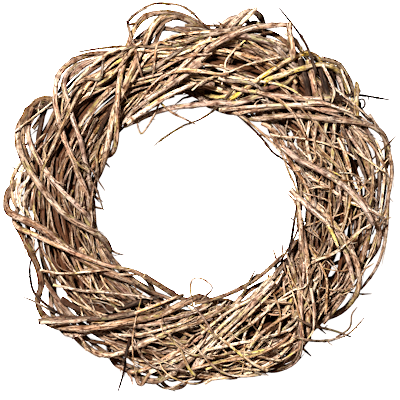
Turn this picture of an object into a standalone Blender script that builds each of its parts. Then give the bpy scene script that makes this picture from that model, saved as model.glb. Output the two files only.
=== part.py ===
# Grapevine wreath: dry vine canes coiled into a loose ring and bound by longer canes wound round it.
# Metres, +Z up. The wreath lies on its back, front up, with the origin under the middle of its outline.
#
# A place in the wreath is three values: the ring angle (anticlockwise from +X, seen from the front), the turn
# (the angle round the bundle: 0 outermost, 90 in front, 180 innermost, 270 behind) and the stand-off from the
# bundle's core. Every cane is laid on those before it, so it touches them and passes through none.

import math
import random

import bmesh
import bpy
import numpy as np
from mathutils import Matrix, Vector

MM = 0.001

# Driving dimensions
RING_RADIUS = 0.1300  # from the middle of the hole to the bundle's core
FLATNESS = 0.72  # the bundle's depth over its width
GRIP_GAP = 0.0003  # between the round outlines of two canes that touch
FLAT_SPOT = 0.0012  # how much of the lowest canes' backs is worn flat

# Fineness. A step is the straight length between two bends, and a bow the tightest curve that they follow.
PLACE_STEP = 0.0025  # between the places where a wound cane is tried against those under it
STRAY_PLACE_STEP = 0.0010
WRAP_STEP = 0.0135
WRAP_BOW = 0.0450
BUNDLE_STEP = 0.0190
BUNDLE_BOW = 0.2200
STRAY_STEP = 0.0095
STRAY_BOW = 0.0400
STIFFNESS = 0.0130  # half the length over which a cane bends to clear another
STRAY_STIFFNESS = 0.0070
ROUND_SIDES = 6
SLIM_SIDES = 4
FEWEST_BENDS = 4
WELD = 0.00001
BUNDLE_PLACES = 400  # on a bundle cane's smooth course
CURVE_PLACES = 60  # between one point of a smooth course and the next
OUTER_ALLOWANCE = 0.0200  # added to a cane's least stand-off, to judge its length before it is laid
BUNDLE_REACH = 0.0750  # a cane further than this from a place's core is across the hole from it

# Canes inside. The hoop is the first coil, and the bundle is laid round it.
BUNDLE_SEED = 11
HOOP_CANES = 2
HOOP_RADII = (0.0034, 0.0027)
HOOP_SPAN = 310  # degrees of the ring
HOOP_TWIST = 200  # degrees round the bundle from one end to the other
HOOP_SWAY = 0.4
HOOP_STAND_OFFS = (0.0020, 0.0030)
BUNDLE_CANES = 23
BUNDLE_TRIES = 8  # places that are tried for each cane, of which the deepest is taken
BUNDLE_SPANS = (140, 250)
BUNDLE_TWISTS = (-170, 420)
BUNDLE_SWAYS = (-0.3, 0.3)
BUNDLE_RADII = (0.0019, 0.0030)
BUNDLE_TAPER = 0.7
BUNDLE_BARKS = ("grey", "brown", "brown", "dark")
INNER_STAND_OFF = 0.0060  # the least stand-off of the bundle's first cane and of its last
OUTER_STAND_OFF = 0.0300

# Canes wound round the bundle, in the order of laying. Radii are at the start and the end. first is the
# quarter turn at which the cane starts: 0 outermost, 1 in front, 2 innermost, 3 behind. Each pair is the ring
# angle in degrees and the least stand-off in millimetres at one quarter turn after another.
WRAP_CANES = [
    {"name": "wrap_cane_left_thin", "radii": (2.4, 2.0), "bark": "brown", "first": 3,
     "turns": [(136, 30), (153, 38), (171, 30), (192, 33), (214, 30)]},
    {"name": "wrap_cane_left_low_right", "radii": (3.1, 2.4), "bark": "brown", "first": 3,
     "turns": [(134, 38), (155, 45), (179, 30), (204, 40), (229, 30), (253, 37), (273, 30), (320, 34),
               (350, 30), (377, 50), (396, 30), (420, 40), (446, 30)]},
    {"name": "wrap_cane_top_fold", "radii": (2.9, 2.3), "bark": "brown", "first": 3,
     "turns": [(64, 30), (73, 50), (88, 30), (122, 32), (152, 30)]},
    {"name": "wrap_cane_green_upper", "radii": (2.6, 2.0), "bark": "green", "first": 3,
     "turns": [(22, 30), (42, 45), (59, 30), (80, 33), (102, 30)]},
    {"name": "wrap_cane_green_lower", "radii": (2.3, 1.9), "bark": "green", "first": 3,
     "turns": [(31, 30), (50, 41), (62, 30), (78, 33), (94, 30)]},
    {"name": "wrap_cane_left_inner", "radii": (3.4, 2.6), "bark": "brown", "first": 3,
     "turns": [(162, 44), (180, 42), (194, 30), (237, 39), (277, 30), (296, 34), (315, 30), (334, 33),
               (354, 30)]},
    {"name": "wrap_cane_right_top", "radii": (2.8, 2.1), "bark": "brown", "first": 3,
     "turns": [(325, 30), (347, 38), (368, 30), (392, 37), (424, 45), (437, 41), (452, 30), (488, 33)]},
    {"name": "wrap_cane_top_left_low", "radii": (2.6, 1.9), "bark": "brown", "first": 3,
     "turns": [(10, 30), (31, 35), (46, 30), (85, 33), (110, 30), (133, 36), (147, 30), (172, 32),
               (197, 30), (222, 38), (238, 30), (280, 34), (302, 30)]},
    {"name": "wrap_cane_top_rim", "radii": (2.8, 2.3), "bark": "brown", "first": 3,
     "turns": [(4, 30), (26, 34), (41, 30), (73, 43), (104, 30), (134, 38), (155, 30), (180, 32),
               (205, 30)]},
    {"name": "wrap_cane_left_bow", "radii": (2.3, 1.8), "bark": "brown", "first": 3,
     "turns": [(172, 30), (185, 36), (197, 30), (233, 48), (262, 30)]},
    {"name": "wrap_cane_top_to_right", "radii": (3.1, 2.3), "bark": "brown", "first": 3,
     "turns": [(78, 30), (98, 41), (117, 30), (158, 38), (195, 30), (232, 34), (251, 30), (280, 33),
               (304, 30), (328, 36), (349, 30), (368, 32), (392, 30)]},
    {"name": "wrap_cane_top_outer", "radii": (2.6, 2.2), "bark": "brown", "first": 3,
     "turns": [(74, 32), (102, 46), (122, 30), (150, 36), (174, 30)]},
    {"name": "wrap_cane_low_rim", "radii": (2.2, 1.8), "bark": "brown", "first": 3,
     "turns": [(232, 30), (247, 33), (264, 30), (302, 38), (335, 30)]},
    {"name": "wrap_cane_right_light", "radii": (1.8, 1.4), "bark": "straw", "first": 3,
     "turns": [(333, 30), (352, 41), (362, 30), (384, 36), (402, 30)]},
    {"name": "wrap_cane_right_steep", "radii": (2.3, 1.9), "bark": "brown", "first": 3,
     "turns": [(280, 30), (298, 34), (315, 30), (356, 37), (380, 30)]},
    {"name": "wrap_cane_low_cut", "radii": (3.3, 2.5), "bark": "brown", "first": 0,
     "turns": [(217, 43), (236, 30), (270, 43), (287, 44), (303, 32), (320, 30), (362, 35), (386, 30)]},
]

# Loose ends, loops and tendrils, laid on the front. Radii and points are in millimetres, from the middle of
# the hole, +X right and +Y up. The third value of a point is its least height over the bundle's core.
STRAY_CANES = [
    {"name": "stray_cane_top_bend", "radii": (2.6, 2.0), "bark": "brown",
     "points": [(12, 150, 0), (31, 154, 4), (52, 158, 4), (74, 160, 2), (82, 160, 0), (84, 153, 0),
                (83, 145, 0), (84, 137, 8), (85, 128, 0)]},
    {"name": "stray_loop_top", "radii": (1.2, 0.9), "bark": "brown",
     "points": [(-56, 138, 0), (-61, 157, 4), (-61, 165, 0), (-53, 174, -2), (-42, 180, -2), (-32, 181, 0),
                (-16, 179, 2), (-7, 174, 2), (2, 166, 0), (14, 152, 0)]},
    {"name": "stray_tendril_hole", "radii": (1.0, 0.7), "bark": "dark",
     "points": [(34, 103, 0), (16, 84, 10), (3, 75, 12), (-12, 69, 12), (-30, 58, 10), (-40, 49, 8)]},
    {"name": "stray_curl_rim", "radii": (0.9, 0.7), "bark": "brown",
     "points": [(-62, 94, 0), (-55, 80, 14), (-53, 68, 12), (-50, 62, 12), (-45, 68, 12), (-40, 77, 12),
                (-33, 91, 10), (-25, 108, 0)]},
    {"name": "stray_twig_light", "radii": (1.3, 0.8), "bark": "brown",
     "points": [(-56, 142, 0), (-52, 125, 0), (-45, 104, 0), (-35, 92, 10), (-24, 82, 16), (-12, 76, 16),
                (-1, 71, 14)]},
    {"name": "stray_tip_bottom", "radii": (1.3, 0.8), "bark": "tendril",
     "points": [(-58, -116, 0), (-63, -134, 14), (-66, -150, 4), (-72, -172, -6)]},
    {"name": "stray_loop_left", "radii": (1.2, 0.9), "bark": "tendril",
     "points": [(-112, -106, 0), (-130, -96, 12), (-145, -84, 4), (-150, -74, 0), (-151, -62, 0),
                (-149, -50, 4), (-141, -38, 0)]},
    {"name": "stray_twig_right_low", "radii": (1.3, 0.9), "bark": "dark",
     "points": [(88, -102, 0), (103, -109, 14), (123, -115, 6), (140, -122, 0)]},
    {"name": "stray_loop_right_low", "radii": (1.2, 0.8), "bark": "brown",
     "points": [(86, -118, 0), (103, -123, 10), (118, -124, 4), (132, -120, 2), (142, -114, 2),
                (152, -104, 2)]},
    {"name": "stray_loop_bottom", "radii": (1.1, 0.8), "bark": "dark",
     "points": [(44, -142, 0), (60, -152, 2), (72, -151, 0), (83, -145, 0), (90, -136, 4), (93, -122, 0)]},
    {"name": "stray_tip_top_right", "radii": (1.2, 0.8), "bark": "tendril",
     "points": [(106, 116, 0), (100, 136, 10), (94, 150, 4), (83, 166, 0), (74, 177, -2)]},
    {"name": "stray_tip_right", "radii": (1.3, 0.8), "bark": "tendril",
     "points": [(118, 92, 0), (134, 96, 14), (150, 97, 4), (175, 94, -4)]},
    {"name": "stray_bud_stub", "radii": (2.5, 2.1), "bark": "green",
     "points": [(142, 78, 0), (142, 88, 6), (143, 98, 4), (144, 109, 2)]},
]

# Side shoots, short stubs that grow from the wound canes where they have room
SHOOT_SEED = 5
SHOOT_SPACING = 0.1300
SHOOT_TRIES = 14
SHOOT_END = 6  # places at each end of a cane that grow no shoot
SHOOT_SIDE = 0.6  # how far a shoot turns sideways for each step outward
SHOOT_BEND = 0.55  # the share of its length before its bend
SHOOT_SPOTS = 14  # places along a shoot that are tried for room, of which the first lie in its own cane
SHOOT_ROOT_SPOTS = 5
SHOOT_LENGTHS = (0.0110, 0.0260)
SHOOT_RADII = (0.0012, 0.0007)
SHOOT_LEAN = (1.1, 2.6)  # how far a shoot leans along its cane for each step outward
SHOOT_ROOM = 0.0008  # the least gap to any other cane
SHOOT_HEIGHTS = (-0.0280, 0.0350)  # the lowest and highest that a stub reaches, from the core
SHOOT_SPREAD = (0.0800, 0.1740)  # the nearest and furthest from the middle of the hole

# Bark: colour, roughness. An edge sharper than the angle stays sharp.
SHARP_ANGLE = 50
BARKS = {
    "dark": ((0.18, 0.11, 0.07), 0.85),
    "brown": ((0.40, 0.27, 0.18), 0.80),
    "grey": ((0.36, 0.29, 0.23), 0.85),
    "straw": ((0.62, 0.47, 0.30), 0.75),
    "green": ((0.50, 0.42, 0.16), 0.75),
    "tendril": ((0.14, 0.08, 0.05), 0.80),
}


class Cane:
    """A cane as it lies: its bends, its radius at each, and close places along it that later canes clear."""

    def __init__(self, name, bark, path, radii, step, sides):
        self.name = name
        self.bark = bark
        self.sides = sides
        lengths = path_lengths(path)
        bends = max(FEWEST_BENDS, int(round(lengths[-1] / step)) + 1)
        self.points = along(path, lengths, np.linspace(0, lengths[-1], bends))
        self.radii = np.interp(np.linspace(0, 1, bends), (0, 1), radii)
        lengths = path_lengths(self.points)
        where = np.linspace(0, lengths[-1], max(FEWEST_BENDS, int(lengths[-1] / PLACE_STEP)))
        self.places = along(self.points, lengths, where)
        self.place_radii = np.interp(where, lengths, self.radii)
        self.shoots = []


def path_lengths(path):
    steps = np.linalg.norm(np.diff(path, axis=0), axis=1)
    return np.concatenate([[0], np.cumsum(steps)])


def along(path, lengths, where):
    return np.stack([np.interp(where, lengths, path[:, axis]) for axis in range(path.shape[1])], axis=1)


def flowing(values, where):
    """Values on a smooth curve through a list, at fractional places in it."""
    values = np.asarray(values, float)
    padded = np.vstack([2 * values[:1] - values[1:2], values, 2 * values[-1:] - values[-2:-1]])
    index = np.clip(where.astype(int), 0, len(values) - 2)
    t = (where - index)[:, None]
    before, start, end, after = (padded[index + offset] for offset in range(4))
    return 0.5 * (2 * start + (end - before) * t + (2 * before - 5 * start + 4 * end - after) * t ** 2
                  + (3 * start - before - 3 * end + after) * t ** 3)


def ring_place(angle, turn, stand_off):
    outward = RING_RADIUS + stand_off * np.cos(turn)
    height = FLATNESS * stand_off * np.sin(turn)
    return np.stack([outward * np.cos(angle), outward * np.sin(angle), height], axis=1)


def eased(needed, spacing, reach):
    """The lowest smooth course that stays on or over what is needed."""
    half = max(1, int(round(reach / spacing)))
    window = 2 * half + 1
    padded = np.pad(needed, 2 * half, mode="edge")
    raised = np.lib.stride_tricks.sliding_window_view(padded, window).max(axis=1)
    bell = 1 + np.cos(np.linspace(-math.pi, math.pi, window + 2)[1:-1])
    return np.convolve(raised, bell / bell.sum(), mode="valid")


def stand_off_needed(angle, turn, radius, laid, spare):
    """How far from the core each place has to stand to clear the canes that are laid."""
    core = ring_place(angle, turn, np.zeros_like(angle))
    ray = ring_place(angle, turn, np.ones_like(angle)) - core
    ray_square = np.sum(ray ** 2, axis=1)[:, None]
    needed = np.zeros_like(angle)
    for cane in laid:
        apart = core[:, None] - cane.places[None]
        reach = radius[:, None] + cane.place_radii[None] + spare
        toward = np.einsum("nmk,nk->nm", apart, ray)
        apart_square = np.sum(apart ** 2, axis=2)
        inside = toward ** 2 - ray_square * (apart_square - reach ** 2)
        met = (inside > 0) & (apart_square < BUNDLE_REACH ** 2)
        exits = np.where(met, -toward + np.sqrt(np.maximum(inside, 0)), 0) / ray_square
        needed = np.maximum(needed, exits.max(axis=1))
    return needed


def height_needed(plan, radius, laid, spare):
    """How high each place has to lie to rest on the canes that are laid, seen from above."""
    needed = np.full(len(plan), -1.0)
    for cane in laid:
        apart = np.linalg.norm(plan[:, None, :2] - cane.places[None, :, :2], axis=2)
        reach = radius[:, None] + cane.place_radii[None] + spare
        inside = reach ** 2 - apart ** 2
        tops = np.where(inside > 0, cane.places[None, :, 2] + np.sqrt(np.maximum(inside, 0)), -1.0)
        needed = np.maximum(needed, tops.max(axis=1))
    return needed


def sag(step, bow):
    """How far a straight stretch between bends cuts inside the curve."""
    return step ** 2 / (8 * bow)


def lay_round(name, bark, course, radii, laid, step, bow):
    """A cane that follows a course of ring angle, turn and least stand-off round the bundle."""
    rough = ring_place(course[:, 0], course[:, 1], course[:, 2] + OUTER_ALLOWANCE)
    lengths = path_lengths(rough)
    course = along(course, lengths, np.linspace(0, lengths[-1], int(lengths[-1] / PLACE_STEP)))
    radius = np.linspace(radii[0], radii[1], len(course))
    needed = stand_off_needed(course[:, 0], course[:, 1], radius, laid, GRIP_GAP + sag(step, bow))
    stand_off = eased(np.maximum(needed, course[:, 2]), PLACE_STEP, STIFFNESS)
    path = ring_place(course[:, 0], course[:, 1], stand_off)
    return Cane(name, bark, path, radii, step, ROUND_SIDES), stand_off


def wrap_course(first, turns):
    knots = [(math.radians(angle), math.radians(90 * (first + index)), stand_off * MM)
             for index, (angle, stand_off) in enumerate(turns)]
    return flowing(knots, np.linspace(0, len(knots) - 1, CURVE_PLACES * len(knots)))


def bundle_course(start, span, turn, twist, sway, least):
    part = np.linspace(0, 1, BUNDLE_PLACES)
    angle = start + span * part
    turns = turn + twist * part + sway * np.sin(2 * math.pi * part + start)
    return np.stack([angle, turns, np.full_like(part, least)], axis=1)


def lay_hoop(laid):
    for index in range(HOOP_CANES):
        start = 2 * math.pi * index / HOOP_CANES
        course = bundle_course(start, math.radians(HOOP_SPAN), start, math.radians(HOOP_TWIST), HOOP_SWAY,
                               HOOP_STAND_OFFS[index])
        cane, _ = lay_round(f"hoop_cane_{index + 1}", "dark", course, HOOP_RADII, laid, BUNDLE_STEP, WRAP_BOW)
        laid.append(cane)


def lay_bundle(laid):
    chance = random.Random(BUNDLE_SEED)
    for index in range(BUNDLE_CANES):
        part = index / (BUNDLE_CANES - 1)
        least = INNER_STAND_OFF + (OUTER_STAND_OFF - INNER_STAND_OFF) * part
        span = math.radians(chance.uniform(*BUNDLE_SPANS))
        twist = math.radians(chance.uniform(*BUNDLE_TWISTS))
        thick = chance.uniform(*BUNDLE_RADII)
        radii = (thick, BUNDLE_TAPER * thick)
        bark = chance.choice(BUNDLE_BARKS)
        deepest = None
        for _ in range(BUNDLE_TRIES):
            start = chance.uniform(0, 2 * math.pi)
            turn = chance.uniform(0, 2 * math.pi)
            course = bundle_course(start, span, turn, twist, chance.uniform(*BUNDLE_SWAYS), least)
            name = f"bundle_cane_{index + 1:02d}"
            cane, stand_off = lay_round(name, bark, course, radii, laid, BUNDLE_STEP, BUNDLE_BOW)
            depth = stand_off.mean() + 0.5 * stand_off.max()
            if deepest is None or depth < deepest[0]:
                deepest = (depth, cane)
        laid.append(deepest[1])


def lay_wraps(laid):
    for row in WRAP_CANES:
        radii = [radius * MM for radius in row["radii"]]
        course = wrap_course(row["first"], row["turns"])
        cane, _ = lay_round(row["name"], row["bark"], course, radii, laid, WRAP_STEP, WRAP_BOW)
        laid.append(cane)


def lay_strays(laid):
    for row in STRAY_CANES:
        radii = [radius * MM for radius in row["radii"]]
        knots = np.array(row["points"], float) * MM
        path = flowing(knots, np.linspace(0, len(knots) - 1, CURVE_PLACES * len(knots)))
        lengths = path_lengths(path)
        path = along(path, lengths, np.linspace(0, lengths[-1], int(lengths[-1] / STRAY_PLACE_STEP)))
        radius = np.linspace(radii[0], radii[1], len(path))
        needed = height_needed(path, radius, laid, GRIP_GAP + sag(STRAY_STEP, STRAY_BOW))
        path[:, 2] = eased(np.maximum(needed, path[:, 2]), STRAY_PLACE_STEP, STRAY_STIFFNESS)
        laid.append(Cane(row["name"], row["bark"], path, radii, STRAY_STEP, SLIM_SIDES))


def shoot_points(cane, place, lean, side, length):
    """A stub's bends: rooted in the cane's middle, leaning along it and curling back out."""
    last = len(cane.places) - 1
    here = cane.places[place]
    forward = cane.places[min(place + 2, last)] - cane.places[max(place - 2, 0)]
    forward /= np.linalg.norm(forward)
    core = np.array([here[0], here[1], 0.0])
    core *= RING_RADIUS / np.linalg.norm(core)
    outward = here - core
    outward /= np.linalg.norm(outward)
    across = np.cross(forward, outward)
    first = outward + lean * forward + side * across
    second = outward + lean / 2 * forward + 1.6 * side * across
    bend = here + SHOOT_BEND * length * first / np.linalg.norm(first)
    tip = bend + (1 - SHOOT_BEND) * length * second / np.linalg.norm(second)
    return np.array([here, bend, tip])


def shoot_spots(points):
    lengths = path_lengths(points)
    return along(points, lengths, np.linspace(0, lengths[-1], SHOOT_SPOTS))


def has_room(points, cane, laid):
    """Whether a stub stays in the wreath's outline, clear of every other cane and of its own further on."""
    spots = shoot_spots(points)
    spread = np.hypot(spots[:, 0], spots[:, 1])
    if spots[:, 2].min() < SHOOT_HEIGHTS[0] or spots[:, 2].max() > SHOOT_HEIGHTS[1]:
        return False
    if spread.min() < SHOOT_SPREAD[0] or spread.max() > SHOOT_SPREAD[1]:
        return False
    for other in laid:
        tested = spots[SHOOT_ROOT_SPOTS:] if other is cane else spots
        room = np.linalg.norm(tested[:, None] - other.places[None], axis=2) - other.place_radii[None]
        if room.min() < SHOOT_RADII[0] + SHOOT_ROOM:
            return False
        for taken in other.shoots:
            room = np.linalg.norm(spots[:, None] - shoot_spots(taken)[None], axis=2)
            if room.min() < 2 * SHOOT_RADII[0] + SHOOT_ROOM:
                return False
    return True


def grow_shoots(laid):
    chance = random.Random(SHOOT_SEED)
    for cane in laid:
        if not cane.name.startswith("wrap"):
            continue
        count = round(len(cane.places) * PLACE_STEP / SHOOT_SPACING)
        for _ in range(count * SHOOT_TRIES):
            place = chance.randint(SHOOT_END, len(cane.places) - 1 - SHOOT_END)
            lean = chance.uniform(*SHOOT_LEAN)
            side = chance.uniform(-SHOOT_SIDE, SHOOT_SIDE)
            points = shoot_points(cane, place, lean, side, chance.uniform(*SHOOT_LENGTHS))
            if len(cane.shoots) < count and has_room(points, cane, laid):
                cane.shoots.append(points)


def tube_mesh(name, points, radii, sides):
    """A closed tube through the points, with welded caps."""
    curve = bpy.data.curves.new(name, "CURVE")
    curve.dimensions = "3D"
    curve.bevel_depth = radii[0]
    curve.bevel_resolution = (sides - 4) // 2
    curve.use_fill_caps = True
    spline = curve.splines.new("POLY")
    spline.points.add(len(points) - 1)
    for point, place, radius in zip(spline.points, points, radii):
        point.co = (*place, 1.0)
        point.radius = radius / radii[0]
    guide = bpy.data.objects.new(name + "_guide", curve)
    bpy.context.scene.collection.objects.link(guide)
    evaluated = guide.evaluated_get(bpy.context.evaluated_depsgraph_get())
    mesh = bpy.data.meshes.new_from_object(evaluated)
    bpy.data.objects.remove(guide)
    bpy.data.curves.remove(curve)
    work = bmesh.new()
    work.from_mesh(mesh)
    bmesh.ops.remove_doubles(work, verts=work.verts, dist=WELD)
    work.to_mesh(mesh)
    work.free()
    mesh.name = name
    return mesh


def cane_mesh(cane):
    """The cane's tube with its side shoots fused to it."""
    mesh = tube_mesh(cane.name, cane.points, cane.radii, cane.sides)
    if not cane.shoots:
        return mesh
    stem = bpy.data.objects.new(cane.name + "_stem", mesh)
    bpy.context.scene.collection.objects.link(stem)
    stubs = bpy.data.collections.new(cane.name + "_shoots")
    bpy.context.scene.collection.children.link(stubs)
    for index, points in enumerate(cane.shoots):
        name = f"{cane.name}_shoot_{index + 1}"
        radii = np.linspace(SHOOT_RADII[0], SHOOT_RADII[1], len(points))
        stubs.objects.link(bpy.data.objects.new(name, tube_mesh(name, points, radii, SLIM_SIDES)))
    union = stem.modifiers.new("shoots", "BOOLEAN")
    union.operation = "UNION"
    union.operand_type = "COLLECTION"
    union.collection = stubs
    evaluated = stem.evaluated_get(bpy.context.evaluated_depsgraph_get())
    fused = bpy.data.meshes.new_from_object(evaluated)
    for item in [stem, *stubs.objects]:
        bpy.data.objects.remove(item)
    bpy.data.collections.remove(stubs)
    fused.name = cane.name
    return fused


def wear_flat(mesh):
    """Trim what lies below the table's plane and close the cut."""
    work = bmesh.new()
    work.from_mesh(mesh)
    everything = work.verts[:] + work.edges[:] + work.faces[:]
    bmesh.ops.bisect_plane(work, geom=everything, dist=WELD / 10, plane_co=(0, 0, 0), plane_no=(0, 0, 1),
                           clear_inner=True)
    bmesh.ops.holes_fill(work, edges=[edge for edge in work.edges if edge.is_boundary], sides=0)
    work.to_mesh(mesh)
    work.free()


def bark_material(name):
    colour, roughness = BARKS[name]
    material = bpy.data.materials.new("bark_" + name)
    material.use_nodes = True
    shader = material.node_tree.nodes["Principled BSDF"]
    shader.inputs["Base Color"].default_value = (*colour, 1.0)
    shader.inputs["Roughness"].default_value = roughness
    shader.inputs["Metallic"].default_value = 0.0
    return material


def settle(meshes):
    """Centre the outline on the origin and wear the lowest canes flat where the wreath lies."""
    corners = np.array([vertex.co for mesh in meshes for vertex in mesh.vertices])
    low = corners.min(axis=0)
    high = corners.max(axis=0)
    shift = Vector((-(low[0] + high[0]) / 2, -(low[1] + high[1]) / 2, -(low[2] + FLAT_SPOT)))
    for mesh in meshes:
        mesh.transform(Matrix.Translation(shift))
        if min(vertex.co.z for vertex in mesh.vertices) < 0:
            wear_flat(mesh)


def main():
    for item in list(bpy.data.objects):
        bpy.data.objects.remove(item)
    wreath = bpy.data.collections.new("grapevine_wreath")
    bpy.context.scene.collection.children.link(wreath)
    laid = []
    lay_hoop(laid)
    lay_bundle(laid)
    lay_wraps(laid)
    lay_strays(laid)
    grow_shoots(laid)
    materials = {name: bark_material(name) for name in BARKS}
    meshes = [cane_mesh(cane) for cane in laid]
    settle(meshes)
    for cane, mesh in zip(laid, meshes):
        mesh.materials.append(materials[cane.bark])
        mesh.shade_smooth()
        mesh.set_sharp_from_angle(angle=math.radians(SHARP_ANGLE))
        wreath.objects.link(bpy.data.objects.new(cane.name, mesh))


main()
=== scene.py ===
# Grapevine wreath: the looks of a ring of dry vine canes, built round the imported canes.
# The canes are laid again by the rule that the solids follow, with bark, knots, stubs and torn ends.
# The thin twigs between them are threaded through the room that is left.
import math
import random

import bpy
import numpy as np
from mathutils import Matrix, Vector


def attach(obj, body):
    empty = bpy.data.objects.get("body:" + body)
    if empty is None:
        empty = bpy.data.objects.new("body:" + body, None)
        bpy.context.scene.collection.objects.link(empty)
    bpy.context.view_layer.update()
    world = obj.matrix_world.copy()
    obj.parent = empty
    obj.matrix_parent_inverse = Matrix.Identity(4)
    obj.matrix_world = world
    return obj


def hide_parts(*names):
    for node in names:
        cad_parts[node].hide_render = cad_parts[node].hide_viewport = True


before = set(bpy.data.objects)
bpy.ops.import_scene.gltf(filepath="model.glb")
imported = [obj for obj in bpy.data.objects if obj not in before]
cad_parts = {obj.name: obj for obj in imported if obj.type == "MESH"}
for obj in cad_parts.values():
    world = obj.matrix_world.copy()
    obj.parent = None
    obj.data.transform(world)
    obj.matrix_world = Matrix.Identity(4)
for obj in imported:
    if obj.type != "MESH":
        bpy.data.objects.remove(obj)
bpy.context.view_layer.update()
mm = 0.001
anyTurn = 6.28  # a whole turn in radians, to two decimals, for the draws of a direction

# How the canes are laid, as in the solids (metres)
laying = {
    "ringRadius": 0.1300, "flatness": 0.72, "gripGap": 0.0003,
    "placeStep": 0.0025, "strayPlaceStep": 0.0010,
    "wrapStep": 0.0135, "wrapBow": 0.0450,
    "bundleStep": 0.0190, "bundleBow": 0.2200,
    "strayStep": 0.0095, "strayBow": 0.0400,
    "stiffness": 0.0130, "strayStiffness": 0.0070,
    "outerAllowance": 0.0200, "reach": 0.0750,
    "fewestBends": 4, "bundlePlaces": 400, "curvePlaces": 60,
}

hoop = {"count": 2, "radii": (0.0034, 0.0027), "span": 310, "twist": 200, "sway": 0.4,
        "standOffs": (0.0020, 0.0030)}

bundle = {"seed": 11, "count": 23, "tries": 8, "spans": (140, 250), "twists": (-170, 420),
          "sways": (-0.3, 0.3), "radii": (0.0019, 0.0030), "taper": 0.7,
          "barks": ("grey", "brown", "brown", "dark"), "standOffs": (0.0060, 0.0300)}

# Canes wound round the bundle, in the order of laying. Radii in mm. first is the quarter turn at the start
# (0 outermost, 1 in front, 2 innermost, 3 behind), and a turn is the ring angle in degrees and the least
# stand-off in mm at one quarter turn after another.
wrapCanes = [
    {"node": "wrap_cane_left_thin", "radii": (2.4, 2.0), "bark": "brown", "first": 3,
     "turns": [(136, 30), (153, 38), (171, 30), (192, 33), (214, 30)]},
    {"node": "wrap_cane_left_low_right", "radii": (3.1, 2.4), "bark": "brown", "first": 3,
     "turns": [(134, 38), (155, 45), (179, 30), (204, 40), (229, 30), (253, 37), (273, 30), (320, 34),
               (350, 30), (377, 50), (396, 30), (420, 40), (446, 30)]},
    {"node": "wrap_cane_top_fold", "radii": (2.9, 2.3), "bark": "brown", "first": 3,
     "turns": [(64, 30), (73, 50), (88, 30), (122, 32), (152, 30)]},
    {"node": "wrap_cane_green_upper", "radii": (2.6, 2.0), "bark": "green", "first": 3,
     "turns": [(22, 30), (42, 45), (59, 30), (80, 33), (102, 30)]},
    {"node": "wrap_cane_green_lower", "radii": (2.3, 1.9), "bark": "green", "first": 3,
     "turns": [(31, 30), (50, 41), (62, 30), (78, 33), (94, 30)]},
    {"node": "wrap_cane_left_inner", "radii": (3.4, 2.6), "bark": "brown", "first": 3,
     "turns": [(162, 44), (180, 42), (194, 30), (237, 39), (277, 30), (296, 34), (315, 30), (334, 33),
               (354, 30)]},
    {"node": "wrap_cane_right_top", "radii": (2.8, 2.1), "bark": "brown", "first": 3,
     "turns": [(325, 30), (347, 38), (368, 30), (392, 37), (424, 45), (437, 41), (452, 30), (488, 33)]},
    {"node": "wrap_cane_top_left_low", "radii": (2.6, 1.9), "bark": "brown", "first": 3,
     "turns": [(10, 30), (31, 35), (46, 30), (85, 33), (110, 30), (133, 36), (147, 30), (172, 32),
               (197, 30), (222, 38), (238, 30), (280, 34), (302, 30)]},
    {"node": "wrap_cane_top_rim", "radii": (2.8, 2.3), "bark": "brown", "first": 3,
     "turns": [(4, 30), (26, 34), (41, 30), (73, 43), (104, 30), (134, 38), (155, 30), (180, 32),
               (205, 30)]},
    {"node": "wrap_cane_left_bow", "radii": (2.3, 1.8), "bark": "brown", "first": 3,
     "turns": [(172, 30), (185, 36), (197, 30), (233, 48), (262, 30)]},
    {"node": "wrap_cane_top_to_right", "radii": (3.1, 2.3), "bark": "brown", "first": 3,
     "turns": [(78, 30), (98, 41), (117, 30), (158, 38), (195, 30), (232, 34), (251, 30), (280, 33),
               (304, 30), (328, 36), (349, 30), (368, 32), (392, 30)]},
    {"node": "wrap_cane_top_outer", "radii": (2.6, 2.2), "bark": "brown", "first": 3,
     "turns": [(74, 32), (102, 46), (122, 30), (150, 36), (174, 30)]},
    {"node": "wrap_cane_low_rim", "radii": (2.2, 1.8), "bark": "brown", "first": 3,
     "turns": [(232, 30), (247, 33), (264, 30), (302, 38), (335, 30)]},
    {"node": "wrap_cane_right_light", "radii": (1.8, 1.4), "bark": "straw", "first": 3,
     "turns": [(333, 30), (352, 41), (362, 30), (384, 36), (402, 30)]},
    {"node": "wrap_cane_right_steep", "radii": (2.3, 1.9), "bark": "brown", "first": 3,
     "turns": [(280, 30), (298, 34), (315, 30), (356, 37), (380, 30)]},
    {"node": "wrap_cane_low_cut", "radii": (3.3, 2.5), "bark": "brown", "first": 0,
     "turns": [(217, 43), (236, 30), (270, 43), (287, 44), (303, 32), (320, 30), (362, 35), (386, 30)]},
]

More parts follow.
